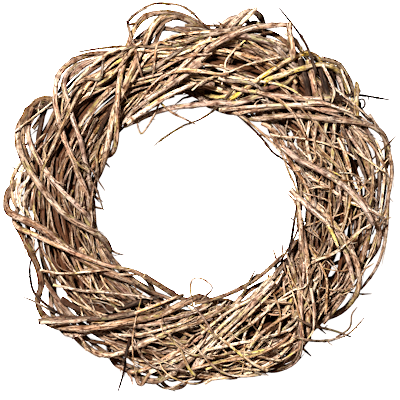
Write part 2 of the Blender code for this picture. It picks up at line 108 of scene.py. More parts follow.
# Loose ends on the front, in mm from the middle of the hole. The third value is the least height over
# the core.
strayCanes = [
    {"node": "stray_cane_top_bend", "radii": (2.6, 2.0), "bark": "brown",
     "points": [(12, 150, 0), (31, 154, 4), (52, 158, 4), (74, 160, 2), (82, 160, 0), (84, 153, 0),
                (83, 145, 0), (84, 137, 8), (85, 128, 0)]},
    {"node": "stray_loop_top", "radii": (1.2, 0.9), "bark": "brown",
     "points": [(-56, 138, 0), (-61, 157, 4), (-61, 165, 0), (-53, 174, -2), (-42, 180, -2), (-32, 181, 0),
                (-16, 179, 2), (-7, 174, 2), (2, 166, 0), (14, 152, 0)]},
    {"node": "stray_tendril_hole", "radii": (1.0, 0.7), "bark": "dark",
     "points": [(34, 103, 0), (16, 84, 10), (3, 75, 12), (-12, 69, 12), (-30, 58, 10), (-40, 49, 8)]},
    {"node": "stray_curl_rim", "radii": (0.9, 0.7), "bark": "brown",
     "points": [(-62, 94, 0), (-55, 80, 14), (-53, 68, 12), (-50, 62, 12), (-45, 68, 12), (-40, 77, 12),
                (-33, 91, 10), (-25, 108, 0)]},
    {"node": "stray_twig_light", "radii": (1.3, 0.8), "bark": "brown",
     "points": [(-56, 142, 0), (-52, 125, 0), (-45, 104, 0), (-35, 92, 10), (-24, 82, 16),
                (-12, 76, 16), (-1, 71, 14)]},
    {"node": "stray_tip_bottom", "radii": (1.3, 0.8), "bark": "tendril",
     "points": [(-58, -116, 0), (-63, -134, 14), (-66, -150, 4), (-72, -172, -6)]},
    {"node": "stray_loop_left", "radii": (1.2, 0.9), "bark": "tendril",
     "points": [(-112, -106, 0), (-130, -96, 12), (-145, -84, 4), (-150, -74, 0), (-151, -62, 0),
                (-149, -50, 4), (-141, -38, 0)]},
    {"node": "stray_twig_right_low", "radii": (1.3, 0.9), "bark": "dark",
     "points": [(88, -102, 0), (103, -109, 14), (123, -115, 6), (140, -122, 0)]},
    {"node": "stray_loop_right_low", "radii": (1.2, 0.8), "bark": "brown",
     "points": [(86, -118, 0), (103, -123, 10), (118, -124, 4), (132, -120, 2), (142, -114, 2),
                (152, -104, 2)]},
    {"node": "stray_loop_bottom", "radii": (1.1, 0.8), "bark": "dark",
     "points": [(44, -142, 0), (60, -152, 2), (72, -151, 0), (83, -145, 0), (90, -136, 4), (93, -122, 0)]},
    {"node": "stray_tip_top_right", "radii": (1.2, 0.8), "bark": "tendril",
     "points": [(106, 116, 0), (100, 136, 10), (94, 150, 4), (83, 166, 0), (74, 177, -2)]},
    {"node": "stray_tip_right", "radii": (1.3, 0.8), "bark": "tendril",
     "points": [(118, 92, 0), (134, 96, 14), (150, 97, 4), (175, 94, -4)]},
    {"node": "stray_bud_stub", "radii": (2.5, 2.1), "bark": "green",
     "points": [(142, 78, 0), (142, 88, 6), (143, 98, 4), (144, 109, 2)]},
]

# Stubs on the wound canes, as in the solids
stubs = {"seed": 5, "spacing": 0.1300, "tries": 14, "end": 6, "side": 0.6, "bend": 0.55, "spots": 14,
         "rootSpots": 5, "lengths": (0.0110, 0.0260), "radii": (0.0012, 0.0007), "lean": (1.1, 2.6),
         "room": 0.0008, "heights": (-0.0280, 0.0350), "spread": (0.0800, 0.1740)}


# Courses and laying

def pathLengths(path):
    steps = np.linalg.norm(np.diff(path, axis=0), axis=1)
    return np.concatenate([[0], np.cumsum(steps)])


def along(path, lengths, where):
    return np.stack([np.interp(where, lengths, path[:, axis]) for axis in range(path.shape[1])], axis=1)


def flowing(values, where):  # a smooth curve through a list, read at fractional places
    values = np.asarray(values, float)
    padded = np.vstack([2 * values[:1] - values[1:2], values, 2 * values[-1:] - values[-2:-1]])
    index = np.clip(where.astype(int), 0, len(values) - 2)
    t = (where - index)[:, None]
    before, start, end, after = (padded[index + offset] for offset in range(4))
    return 0.5 * (2 * start + (end - before) * t + (2 * before - 5 * start + 4 * end - after) * t ** 2
                  + (3 * start - before - 3 * end + after) * t ** 3)


def ringPlace(angle, turn, standOff):
    outward = laying["ringRadius"] + standOff * np.cos(turn)
    height = laying["flatness"] * standOff * np.sin(turn)
    return np.stack([outward * np.cos(angle), outward * np.sin(angle), height], axis=1)


def eased(needed, spacing, reach):  # the lowest smooth course that stays on or over what is needed
    half = max(1, int(round(reach / spacing)))
    window = 2 * half + 1
    padded = np.pad(needed, 2 * half, mode="edge")
    raised = np.lib.stride_tricks.sliding_window_view(padded, window).max(axis=1)
    bell = 1 + np.cos(np.linspace(-math.pi, math.pi, window + 2)[1:-1])
    return np.convolve(raised, bell / bell.sum(), mode="valid")


def makeCane(node, bark, path, radii, step):  # what lies there: its course, and the bends that the solid has
    lengths = pathLengths(path)
    bends = max(laying["fewestBends"], int(round(lengths[-1] / step)) + 1)
    points = along(path, lengths, np.linspace(0, lengths[-1], bends))
    bendRadii = np.interp(np.linspace(0, 1, bends), (0, 1), radii)
    bendLengths = pathLengths(points)
    count = max(laying["fewestBends"], int(bendLengths[-1] / laying["placeStep"]))
    where = np.linspace(0, bendLengths[-1], count)
    return {"node": node, "bark": bark, "path": path, "radii": radii, "points": points, "stubs": [],
            "places": along(points, bendLengths, where),
            "placeRadii": np.interp(where, bendLengths, bendRadii)}


def standOffNeeded(angle, turn, radius, laid, spare):
    core = ringPlace(angle, turn, np.zeros_like(angle))
    ray = ringPlace(angle, turn, np.ones_like(angle)) - core
    raySquare = np.sum(ray ** 2, axis=1)[:, None]
    needed = np.zeros_like(angle)
    for cane in laid:
        apart = core[:, None] - cane["places"][None]
        reach = radius[:, None] + cane["placeRadii"][None] + spare
        toward = np.einsum("nmk,nk->nm", apart, ray)
        apartSquare = np.sum(apart ** 2, axis=2)
        inside = toward ** 2 - raySquare * (apartSquare - reach ** 2)
        met = (inside > 0) & (apartSquare < laying["reach"] ** 2)
        exits = np.where(met, -toward + np.sqrt(np.maximum(inside, 0)), 0) / raySquare
        needed = np.maximum(needed, exits.max(axis=1))
    return needed


def heightNeeded(plan, radius, laid, spare):
    needed = np.full(len(plan), -1.0)
    for cane in laid:
        apart = np.linalg.norm(plan[:, None, :2] - cane["places"][None, :, :2], axis=2)
        reach = radius[:, None] + cane["placeRadii"][None] + spare
        inside = reach ** 2 - apart ** 2
        tops = np.where(inside > 0, cane["places"][None, :, 2] + np.sqrt(np.maximum(inside, 0)), -1.0)
        needed = np.maximum(needed, tops.max(axis=1))
    return needed


def layRound(node, bark, course, radii, laid, step, bow):
    rough = ringPlace(course[:, 0], course[:, 1], course[:, 2] + laying["outerAllowance"])
    lengths = pathLengths(rough)
    course = along(course, lengths, np.linspace(0, lengths[-1], int(lengths[-1] / laying["placeStep"])))
    radius = np.linspace(radii[0], radii[1], len(course))
    spare = laying["gripGap"] + step ** 2 / (8 * bow)
    needed = standOffNeeded(course[:, 0], course[:, 1], radius, laid, spare)
    standOff = eased(np.maximum(needed, course[:, 2]), laying["placeStep"], laying["stiffness"])
    return makeCane(node, bark, ringPlace(course[:, 0], course[:, 1], standOff), radii, step), standOff


def bundleCourse(start, span, turn, twist, sway, least):
    part = np.linspace(0, 1, laying["bundlePlaces"])
    turns = turn + twist * part + sway * np.sin(2 * math.pi * part + start)
    return np.stack([start + span * part, turns, np.full_like(part, least)], axis=1)


def wrapCourse(first, turns):
    knots = [(math.radians(angle), math.radians(90 * (first + index)), standOff * mm)
             for index, (angle, standOff) in enumerate(turns)]
    return flowing(knots, np.linspace(0, len(knots) - 1, laying["curvePlaces"] * len(knots)))


def layHoop(laid):
    for index in range(hoop["count"]):
        start = 2 * math.pi * index / hoop["count"]
        course = bundleCourse(start, math.radians(hoop["span"]), start, math.radians(hoop["twist"]),
                              hoop["sway"], hoop["standOffs"][index])
        cane, _ = layRound(f"hoop_cane_{index + 1}", "dark", course, hoop["radii"], laid,
                           laying["bundleStep"], laying["wrapBow"])
        laid.append(cane)


def layBundle(laid):
    chance = random.Random(bundle["seed"])
    low, high = bundle["standOffs"]
    for index in range(bundle["count"]):
        part = index / (bundle["count"] - 1)
        least = low + (high - low) * part
        span = math.radians(chance.uniform(*bundle["spans"]))
        twist = math.radians(chance.uniform(*bundle["twists"]))
        thick = chance.uniform(*bundle["radii"])
        radii = (thick, bundle["taper"] * thick)
        bark = chance.choice(bundle["barks"])
        deepest = None
        for _ in range(bundle["tries"]):
            start = chance.uniform(0, 2 * math.pi)
            turn = chance.uniform(0, 2 * math.pi)
            course = bundleCourse(start, span, turn, twist, chance.uniform(*bundle["sways"]), least)
            cane, standOff = layRound(f"bundle_cane_{index + 1:02d}", bark, course, radii, laid,
                                      laying["bundleStep"], laying["bundleBow"])
            depth = standOff.mean() + 0.5 * standOff.max()
            if deepest is None or depth < deepest[0]:
                deepest = (depth, cane)
        laid.append(deepest[1])


def layWraps(laid):
    for row in wrapCanes:
        radii = [radius * mm for radius in row["radii"]]
        cane, _ = layRound(row["node"], row["bark"], wrapCourse(row["first"], row["turns"]), radii, laid,
                           laying["wrapStep"], laying["wrapBow"])
        laid.append(cane)


def layStrays(laid):
    step = laying["strayPlaceStep"]
    for row in strayCanes:
        radii = [radius * mm for radius in row["radii"]]
        knots = np.array(row["points"], float) * mm
        path = flowing(knots, np.linspace(0, len(knots) - 1, laying["curvePlaces"] * len(knots)))
        lengths = pathLengths(path)
        path = along(path, lengths, np.linspace(0, lengths[-1], int(lengths[-1] / step)))
        radius = np.linspace(radii[0], radii[1], len(path))
        spare = laying["gripGap"] + laying["strayStep"] ** 2 / (8 * laying["strayBow"])
        needed = heightNeeded(path, radius, laid, spare)
        path[:, 2] = eased(np.maximum(needed, path[:, 2]), step, laying["strayStiffness"])
        laid.append(makeCane(row["node"], row["bark"], path, radii, laying["strayStep"]))


def stubPoints(cane, place, lean, side, length):
    last = len(cane["places"]) - 1
    here = cane["places"][place]
    forward = cane["places"][min(place + 2, last)] - cane["places"][max(place - 2, 0)]
    forward /= np.linalg.norm(forward)
    core = np.array([here[0], here[1], 0.0])
    core *= laying["ringRadius"] / np.linalg.norm(core)
    outward = here - core
    outward /= np.linalg.norm(outward)
    across = np.cross(forward, outward)
    first = outward + lean * forward + side * across
    second = outward + lean / 2 * forward + 1.6 * side * across
    bend = here + stubs["bend"] * length * first / np.linalg.norm(first)
    tip = bend + (1 - stubs["bend"]) * length * second / np.linalg.norm(second)
    return np.array([here, bend, tip])


def stubSpots(points):
    lengths = pathLengths(points)
    return along(points, lengths, np.linspace(0, lengths[-1], stubs["spots"]))


def hasRoom(points, cane, laid):
    spots = stubSpots(points)
    spread = np.hypot(spots[:, 0], spots[:, 1])
    if spots[:, 2].min() < stubs["heights"][0] or spots[:, 2].max() > stubs["heights"][1]:
        return False
    if spread.min() < stubs["spread"][0] or spread.max() > stubs["spread"][1]:
        return False
    for other in laid:
        tested = spots[stubs["rootSpots"]:] if other is cane else spots
        room = np.linalg.norm(tested[:, None] - other["places"][None], axis=2) - other["placeRadii"][None]
        if room.min() < stubs["radii"][0] + stubs["room"]:
            return False
        for taken in other["stubs"]:
            room = np.linalg.norm(spots[:, None] - stubSpots(taken)[None], axis=2)
            if room.min() < 2 * stubs["radii"][0] + stubs["room"]:
                return False
    return True


def growStubs(laid):
    chance = random.Random(stubs["seed"])
    for cane in laid:
        if not cane["node"].startswith("wrap"):
            continue
        count = round(len(cane["places"]) * laying["placeStep"] / stubs["spacing"])
        for _ in range(count * stubs["tries"]):
            place = chance.randint(stubs["end"], len(cane["places"]) - 1 - stubs["end"])
            lean = chance.uniform(*stubs["lean"])
            side = chance.uniform(-stubs["side"], stubs["side"])
            points = stubPoints(cane, place, lean, side, chance.uniform(*stubs["lengths"]))
            if len(cane["stubs"]) < count and hasRoom(points, cane, laid):
                cane["stubs"].append(points)


laid = []
layHoop(laid)
layBundle(laid)
layWraps(laid)
layStrays(laid)
growStubs(laid)
print("laid", len(laid), "canes")


def findShift(canes):  # from the core's middle to the frame's origin, by a cane whose solid is a plain tube
    shifts = []
    for cane in canes:
        if cane["node"].startswith("bundle"):
            spots = np.array([vertex.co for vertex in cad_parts[cane["node"]].data.vertices])
            rings = np.unique(spots.round(6), axis=0)
            shifts.append(rings.mean(axis=0) - cane["points"].mean(axis=0))
    print("shift spread mm", np.ptp(np.array(shifts), axis=0) / mm)
    return np.median(shifts, axis=0)


shift = findShift(laid)
print("shift mm", shift / mm)


# The room between the canes, as a grid of how far each cell's middle is from the nearest bark

room = {"cell": 0.00125, "margin": 0.0045, "half": 0.1900, "low": -0.0330, "high": 0.0360}
roomLow = np.array([-room["half"], -room["half"], room["low"]])
roomCells = [int(round((2 * room["half"]) / room["cell"]))] * 2
roomCells.append(int(round((room["high"] - room["low"]) / room["cell"])))
clearance = np.full(roomCells, room["margin"], np.float32)


def fillRoom(points, radii):  # marks round spots of bark along a cane
    lengths = pathLengths(points)
    where = np.linspace(0, lengths[-1], max(2, int(lengths[-1] / room["cell"])))
    spots = along(points, lengths, where)
    widths = np.interp(where, lengths, radii)
    for spot, width in zip(spots, widths):
        reach = width + room["margin"]
        start = np.maximum(np.floor((spot - reach - roomLow) / room["cell"]).astype(int), 0)
        end = np.minimum(np.ceil((spot + reach - roomLow) / room["cell"]).astype(int) + 1, roomCells)
        if (start >= end).any():
            continue
        axes = [roomLow[axis] + (np.arange(start[axis], end[axis]) + 0.5) * room["cell"] - spot[axis]
                for axis in range(3)]
        apart = np.sqrt(axes[0][:, None, None] ** 2 + axes[1][None, :, None] ** 2
                        + axes[2][None, None, :] ** 2) - width
        block = clearance[start[0]:end[0], start[1]:end[1], start[2]:end[2]]
        np.minimum(block, apart, out=block)


def roomAt(points):
    cells = ((points - roomLow) / room["cell"]).astype(int)
    outside = ((cells < 0) | (cells >= roomCells)).any(axis=-1)
    cells = np.clip(cells, 0, np.array(roomCells) - 1)
    found = clearance[cells[..., 0], cells[..., 1], cells[..., 2]]
    return np.where(outside, -room["margin"], found)


for cane in laid:
    fillRoom(cane["path"], np.linspace(cane["radii"][0], cane["radii"][1], len(cane["path"])))
    for points in cane["stubs"]:
        fillRoom(points, np.full(len(points), stubs["radii"][0]))
print("room marked")


# How a cane finds its way: the level at each place that costs least in crossing bark, in leaving the level
# that is wished for and in bending. A costly crossing can still be the least of them, so some twigs cross.
threading = {"step": 0.0030, "crossing": 5.0, "leaving": 0.012, "bending": 6.0, "tries": 24, "taper": 0.6,
             "levelStep": 0.0010, "leastStandOff": 0.0020, "mostStandOff": 0.0500, "floorRoom": 0.0020,
             "fewestPlaces": 6, "strandEase": 0.0120}


def threadThrough(spots, levels, wish, radius, ease):
    count = len(spots)
    crossed = np.maximum(0, radius[:, None] + laying["gripGap"] - roomAt(spots)) / mm
    cost = threading["crossing"] * crossed ** 2
    cost += threading["leaving"] * ((levels[None] - wish[:, None]) / mm) ** 2
    bending = threading["bending"] * ((levels[:, None] - levels[None]) / threading["step"]) ** 2
    best = cost[0]
    came = np.zeros((count, len(levels)), int)
    for index in range(1, count):
        total = best[None] + bending
        came[index] = total.argmin(axis=1)
        best = total[np.arange(len(levels)), came[index]] + cost[index]
    chosen = np.zeros(count, int)
    chosen[-1] = best.argmin()
    for index in range(count - 1, 0, -1):
        chosen[index - 1] = came[index, chosen[index]]
    half = max(1, int(round(ease / threading["step"])))
    bell = 1 + np.cos(np.linspace(-math.pi, math.pi, 2 * half + 3)[1:-1])
    return np.convolve(np.pad(levels[chosen], half, mode="edge"), bell / bell.sum(), mode="valid")


def threadedCane(name, bark, path, radii):  # the finished course, which later canes avoid if they can
    count = len(path)
    fillRoom(path, np.linspace(radii[0], radii[1], count))
    return {"node": name, "bark": bark, "path": flowing(path, np.linspace(0, count - 1, count * 2)),
            "radii": radii, "stubs": []}


def threadRound(course, radii, ease):  # a course of ring angle, turn and wished stand-off
    lengths = pathLengths(ringPlace(course[:, 0], course[:, 1], course[:, 2]))
    count = max(threading["fewestPlaces"], int(lengths[-1] / threading["step"]))
    course = along(course, lengths, np.linspace(0, lengths[-1], count))
    levels = np.arange(threading["leastStandOff"], threading["mostStandOff"], threading["levelStep"])
    angle = np.repeat(course[:, 0], len(levels))
    turn = np.repeat(course[:, 1], len(levels))
    spots = ringPlace(angle, turn, np.tile(levels, count)).reshape(count, len(levels), 3)
    radius = np.linspace(radii[0], radii[1], count)
    standOff = threadThrough(spots, levels, course[:, 2], radius, ease)
    return ringPlace(course[:, 0], course[:, 1], standOff)


def threadOver(name, bark, points, radii, ease):  # points seen from above, with the wished height of each
    knots = np.array(points, float) * mm
    path = flowing(knots, np.linspace(0, len(knots) - 1, laying["curvePlaces"] * len(knots)))
    lengths = pathLengths(path)
    count = max(threading["fewestPlaces"], int(lengths[-1] / threading["step"]))
    path = along(path, lengths, np.linspace(0, lengths[-1], count))
    levels = np.arange(room["low"] + threading["floorRoom"], room["high"], threading["levelStep"])
    spots = np.repeat(path[:, None], len(levels), 1)
    spots[:, :, 2] = levels
    radius = np.linspace(radii[0], radii[1], count)
    path[:, 2] = threadThrough(spots, levels, path[:, 2], radius, ease)
    return threadedCane(name, bark, path, radii)


# Strands beside the wound canes and thick canes that show between them, in mm as the strays. The third value
# is the height that each keeps to where it finds room. The strands named dark are near-black canes laid where
# there is deep shade between canes, as painted shade.
strandCanes = [
    {"name": "strand_right_slant", "radii": (3.0, 2.5), "bark": "brown",
     "points": [(76, 50, 8), (89, 40, 22), (104, 32, 28), (121, 22, 29), (135, 11, 26),
                (148, -4, 18), (157, -20, 6)]},
    {"name": "strand_top_bend_over", "radii": (2.9, 2.5), "bark": "brown",
     "points": [(8, 135, 20), (22, 144, 20), (37, 151, 20), (51, 156, 18), (66, 158, 14), (81, 160, 10)]},
    {"name": "strand_top_bend_down", "radii": (2.5, 2.2), "bark": "brown",
     "points": [(82, 161, 8), (83, 150, 16), (85, 140, 22), (86, 129, 26)]},
    {"name": "strand_top_fan_light", "radii": (1.5, 1.1), "bark": "straw",
     "points": [(42, 166, 10), (28, 154, 20), (13, 141, 28), (0, 129, 32)]},
    {"name": "strand_bottom_long", "radii": (2.6, 2.1), "bark": "brown",
     "points": [(68, -70, 26), (53, -86, 30), (37, -102, 32), (22, -117, 30), (6, -133, 24),
                (-6, -152, 10)]},
    {"name": "strand_bottom_edge_1", "radii": (1.8, 1.4), "bark": "straw",
     "points": [(8, -148, 16), (30, -139, 24), (57, -132, 26), (78, -127, 22), (91, -118, 16)]},
    {"name": "strand_bottom_edge_2", "radii": (1.9, 1.5), "bark": "straw",
     "points": [(15, -158, 4), (39, -153, 8), (62, -153, 6), (78, -145, 8), (87, -132, 12),
                (94, -116, 14)]},
    {"name": "strand_bottom_edge_3", "radii": (1.7, 1.3), "bark": "brown",
     "points": [(22, -154, 8), (48, -146, 16), (68, -140, 20), (82, -130, 20)]},
    {"name": "strand_bottom_edge_4", "radii": (1.7, 1.3), "bark": "brown",
     "points": [(46, -129, 28), (58, -116, 31), (73, -105, 31), (84, -98, 30)]},
    {"name": "strand_low_upper", "radii": (1.7, 1.3), "bark": "brown",
     "points": [(-84, -108, 0), (-72, -111, 18), (-51, -110, 24), (-34, -105, 26), (-16, -101, 24),
                (3, -96, 16), (14, -90, 4)]},
    {"name": "strand_low_lower", "radii": (1.5, 1.2), "bark": "straw",
     "points": [(-92, -116, 0), (-74, -118, 18), (-52, -117, 25), (-30, -112, 26), (-8, -106, 24),
                (14, -97, 16), (26, -88, 2)]},
    {"name": "strand_low_dark", "radii": (2.5, 2.1), "bark": "dark",
     "points": [(-142, -106, 8), (-118, -103, 20), (-96, -103, 26), (-76, -102, 28), (-50, -97, 26),
                (-26, -88, 18), (-12, -82, 6)]},
    {"name": "strand_low_stick", "radii": (1.9, 1.6), "bark": "straw",
     "points": [(-139, -107, 16), (-122, -106, 26), (-98, -104, 30)]},
    {"name": "strand_low_light_1", "radii": (1.3, 0.9), "bark": "straw",
     "points": [(-140, -60, 14), (-120, -63, 24), (-100, -62, 28), (-80, -60, 22)]},
    {"name": "strand_low_light_2", "radii": (1.4, 1.0), "bark": "straw",
     "points": [(-128, -73, 20), (-105, -78, 28), (-80, -80, 28), (-55, -83, 22), (-40, -86, 12)]},
    {"name": "strand_low_light_3", "radii": (1.5, 1.1), "bark": "straw",
     "points": [(-55, -98, 24), (-38, -91, 26), (-18, -83, 16)]},
    {"name": "strand_inner_low", "radii": (2.2, 1.8), "bark": "dark",
     "points": [(-86, -38, -4), (-77, -50, 0), (-66, -61, 2), (-53, -72, 2), (-38, -81, 2), (-20, -88, -4)]},
    {"name": "strand_inner_low_right", "radii": (2.0, 1.6), "bark": "dark",
     "points": [(-2, -90, 2), (16, -86, 6), (39, -77, 8), (58, -65, 8), (77, -47, 2)]},
    {"name": "strand_inner_top", "radii": (2.6, 2.2), "bark": "brown",
     "points": [(-66, 70, -6), (-45, 79, 8), (-28, 84, 14), (-11, 87, 16), (6, 89, 16), (24, 90, 12),
                (44, 88, 8), (66, 80, 0)]},
    {"name": "strand_inner_right_1", "radii": (1.1, 0.9), "bark": "brown",
     "points": [(20, 88, 0), (37, 80, 6), (53, 68, 6), (75, 46, 6), (82, 30, 6), (90, 12, 2), (95, -6, 0)]},
    {"name": "strand_inner_right_2", "radii": (1.0, 0.8), "bark": "tendril",
     "points": [(30, 84, 2), (41, 76, 2), (57, 60, 2), (68, 46, 2), (78, 39, 4), (86, 30, 6), (93, 15, 8)]},
    {"name": "strand_top_slant", "radii": (2.5, 2.0), "bark": "brown",
     "points": [(4, 124, 10), (-18, 109, 20), (-35, 98, 22), (-55, 84, 14), (-68, 70, 0)]},
    {"name": "strand_top_mid", "radii": (2.5, 2.1), "bark": "dark",
     "points": [(-66, 128, 10), (-43, 132, 20), (-20, 128, 22), (2, 119, 20), (20, 108, 14), (36, 96, 4)]},
    {"name": "strand_top_second", "radii": (1.9, 1.5), "bark": "straw",
     "points": [(-40, 118, 12), (-20, 128, 22), (2, 141, 24), (22, 155, 18), (40, 167, 6), (48, 172, -2)]},
    {"name": "strand_top_outer_1", "radii": (2.2, 1.8), "bark": "brown",
     "points": [(-4, 138, 0), (7, 143, 6), (39, 149, 10), (70, 145, 8), (93, 133, 2)]},
    {"name": "strand_top_outer_2", "radii": (2.0, 1.7), "bark": "dark",
     "points": [(6, 132, 8), (16, 136, 14), (48, 140, 16), (79, 133, 14), (102, 121, 6)]},
    {"name": "strand_top_left_1", "radii": (2.4, 2.0), "bark": "grey",
     "points": [(-62, 136, 0), (-51, 151, 4), (-38, 158, 6), (-17, 156, 6), (3, 149, 6), (16, 142, 4)]},
    {"name": "strand_top_left_2", "radii": (1.8, 1.5), "bark": "brown",
     "points": [(-51, 138, 8), (-29, 145, 12), (-2, 140, 14), (16, 136, 8)]},
    {"name": "strand_top_light_1", "radii": (1.0, 0.8), "bark": "straw",
     "points": [(-4, 100, 20), (7, 109, 26), (25, 115, 28), (48, 124, 28), (76, 130, 20)]},
    {"name": "strand_top_light_2", "radii": (1.0, 0.7), "bark": "straw",
     "points": [(22, 106, 24), (24, 115, 28), (27, 129, 28), (43, 145, 22), (57, 151, 14)]},
    {"name": "strand_right_fan_1", "radii": (1.9, 1.2), "bark": "straw",
     "points": [(20, 84, 0), (48, 86, 12), (75, 87, 22), (99, 88, 26), (117, 87, 26),
                (138, 78, 18), (152, 68, 4)]},
    {"name": "strand_right_fan_2", "radii": (1.3, 1.0), "bark": "straw",
     "points": [(99, 89, 22), (112, 89, 26), (128, 84, 24), (146, 77, 12), (156, 70, 0)]},
    {"name": "strand_right_fan_3", "radii": (1.2, 0.9), "bark": "brown",
     "points": [(99, 86, 22), (112, 82, 26), (128, 77, 24), (142, 69, 16), (152, 62, 2)]},
    {"name": "strand_right_deep_1", "radii": (2.9, 2.4), "bark": "brown",
     "points": [(82, 134, 8), (86, 118, 18), (88, 102, 23), (91, 86, 20), (94, 70, 8)]},
    {"name": "strand_right_deep_2", "radii": (2.8, 2.3), "bark": "brown",
     "points": [(100, 128, 6), (103, 114, 18), (106, 98, 23), (109, 82, 20), (108, 64, 8)]},
    {"name": "strand_right_light_1", "radii": (1.0, 0.8), "bark": "straw",
     "points": [(66, 62, 8), (72, 60, 16), (99, 57, 26), (129, 48, 26), (142, 39, 20)]},
    {"name": "strand_right_light_2", "radii": (1.6, 1.3), "bark": "straw",
     "points": [(102, -53, 20), (106, -51, 24), (126, -42, 26), (147, -24, 20)]},
    {"name": "strand_right_light_3", "radii": (1.4, 1.1), "bark": "straw",
     "points": [(120, -26, 20), (129, -20, 26), (158, -4, 16)]},
    {"name": "strand_right_yellow", "radii": (2.4, 2.0), "bark": "brown",
     "points": [(84, 12, 2), (93, 3, 20), (106, -9, 29), (118, -21, 30), (128, -36, 29),
                (136, -53, 20), (140, -72, 6)]},
    {"name": "strand_right_outer_1", "radii": (1.7, 1.3), "bark": "brown",
     "points": [(156, 80, -4), (167, 62, 4), (174, 46, 6), (176, 24, 6), (173, 4, 6), (172, -20, 6),
                (168, -42, 4), (161, -60, 0), (148, -78, -6)]},
    {"name": "strand_right_outer_2", "radii": (1.3, 1.0), "bark": "straw",
     "points": [(150, 70, 4), (163, 50, 10), (168, 30, 12), (167, 8, 12), (164, -16, 10),
                (160, -40, 8), (150, -60, 4)]},
    {"name": "strand_right_yellow_end", "radii": (2.0, 1.7), "bark": "green",
     "points": [(116, -20, 30), (121, -29, 32), (126, -40, 32)]},
    {"name": "strand_upright_1", "radii": (2.4, 2.0), "bark": "brown",
     "points": [(97, -124, 2), (96, -106, 16), (95, -84, 24), (94, -60, 26), (93, -34, 22),
                (92, -10, 10), (90, 8, -2)]},
    {"name": "strand_upright_2", "radii": (1.3, 1.0), "bark": "tendril",
     "points": [(72, -76, 8), (80, -56, 14), (84, -36, 14), (87, -18, 10), (91, 2, 2), (96, 18, -4)]},
    {"name": "strand_bottom_1", "radii": (2.2, 1.8), "bark": "straw",
     "points": [(-42, -152, 10), (-6, -134, 24), (22, -110, 28), (48, -86, 22), (68, -65, 8)]},
    {"name": "strand_bottom_2", "radii": (1.8, 1.4), "bark": "straw",
     "points": [(7, -162, 4), (39, -143, 20), (66, -114, 28), (84, -87, 22), (91, -60, 8)]},
    {"name": "strand_bottom_3", "radii": (1.8, 1.5), "bark": "brown",
     "points": [(-22, -114, 20), (3, -105, 26), (30, -92, 26), (58, -87, 24), (84, -89, 16)]},
    {"name": "strand_bottom_knob", "radii": (1.8, 1.5), "bark": "dark",
     "points": [(-35, -158, 2), (-29, -165, 2), (-22, -168, 0), (-12, -165, 0), (-8, -157, 0)]},
    {"name": "strand_left_arc", "radii": (2.6, 2.2), "bark": "dark",
     "points": [(-118, 92, -6), (-140, 94, 0), (-152, 85, 2), (-158, 73, 2), (-162, 60, 4), (-160, 48, 8),
                (-153, 34, 12), (-144, 18, 14)]},
    {"name": "strand_left_outer", "radii": (2.2, 1.8), "bark": "dark",
     "points": [(-140, 88, 0), (-150, 80, 2), (-153, 68, 4), (-149, 54, 6), (-141, 39, 8), (-130, 25, 6)]},
    {"name": "strand_left_top_arc", "radii": (2.4, 2.0), "bark": "brown",
     "points": [(-58, 122, 6), (-66, 129, 10), (-83, 132, 10), (-102, 125, 8), (-117, 112, 2),
                (-126, 100, -4)]},
    {"name": "strand_left_deep_1", "radii": (2.2, 1.8), "bark": "straw",
     "points": [(-104, -40, 10), (-100, -56, 16), (-96, -72, 18), (-93, -88, 16), (-90, -102, 8),
                (-84, -116, 0)]},
    {"name": "strand_left_deep_2", "radii": (2.0, 1.6), "bark": "brown",
     "points": [(-112, -34, 8), (-108, -52, 14), (-104, -70, 16), (-100, -88, 14), (-94, -104, 6)]},
    {"name": "strand_left_straight", "radii": (1.0, 0.8), "bark": "straw",
     "points": [(-164, 64, 10), (-146, 78, 18), (-128, 92, 18), (-110, 104, 14)]},
    {"name": "strand_left_knee", "radii": (2.9, 2.5), "bark": "dark",
     "points": [(-164, -18, 4), (-155, -36, 8), (-144, -57, 10), (-140, -74, 8), (-144, -87, 4),
                (-141, -99, 2), (-131, -108, 0), (-114, -114, -4), (-96, -116, -10)]},
    {"name": "strand_right_outer_3", "radii": (1.9, 1.5), "bark": "dark",
     "points": [(136, 84, 4), (150, 69, 8), (160, 50, 10), (164, 27, 10), (163, 3, 10),
                (158, -20, 10), (150, -43, 6)]},
    {"name": "strand_right_outer_4", "radii": (1.6, 1.2), "bark": "straw",
     "points": [(145, 72, 8), (158, 54, 12), (169, 35, 12), (173, 15, 10), (170, -7, 8), (162, -30, 8),
                (153, -54, 6), (139, -74, 2)]},
    {"name": "strand_right_outer_5", "radii": (1.7, 1.3), "bark": "brown",
     "points": [(130, 76, 16), (146, 58, 18), (156, 36, 20), (157, 12, 20), (152, -10, 18), (141, -30, 12)]},
    {"name": "strand_right_across_1", "radii": (1.1, 0.8), "bark": "straw",
     "points": [(138, 50, 20), (152, 39, 20), (168, 27, 10)]},
    {"name": "strand_right_across_2", "radii": (1.0, 0.7), "bark": "straw",
     "points": [(144, 10, 20), (158, 24, 18), (172, 40, 8)]},
    {"name": "strand_right_across_3", "radii": (1.2, 0.9), "bark": "brown",
     "points": [(134, 32, 22), (148, 17, 22), (161, 1, 14)]},
    {"name": "strand_right_across_4", "radii": (1.0, 0.7), "bark": "straw",
     "points": [(136, 4, 24), (150, -4, 22), (166, -12, 10)]},
    {"name": "strand_right_across_5", "radii": (1.1, 0.8), "bark": "straw",
     "points": [(128, -44, 24), (142, -28, 22), (162, -14, 10)]},
    {"name": "strand_bottom_4", "radii": (1.6, 1.2), "bark": "straw",
     "points": [(2, -144, 20), (25, -119, 28), (48, -97, 28), (66, -79, 24), (77, -61, 14)]},
    {"name": "strand_bottom_5", "radii": (1.5, 1.1), "bark": "straw",
     "points": [(4, -116, 22), (25, -99, 28), (48, -86, 26), (70, -74, 18)]},
    {"name": "strand_bottom_6", "radii": (1.7, 1.3), "bark": "straw",
     "points": [(14, -158, 4), (42, -154, 12), (65, -143, 18), (81, -129, 20), (89, -110, 22),
                (90, -88, 22)]},
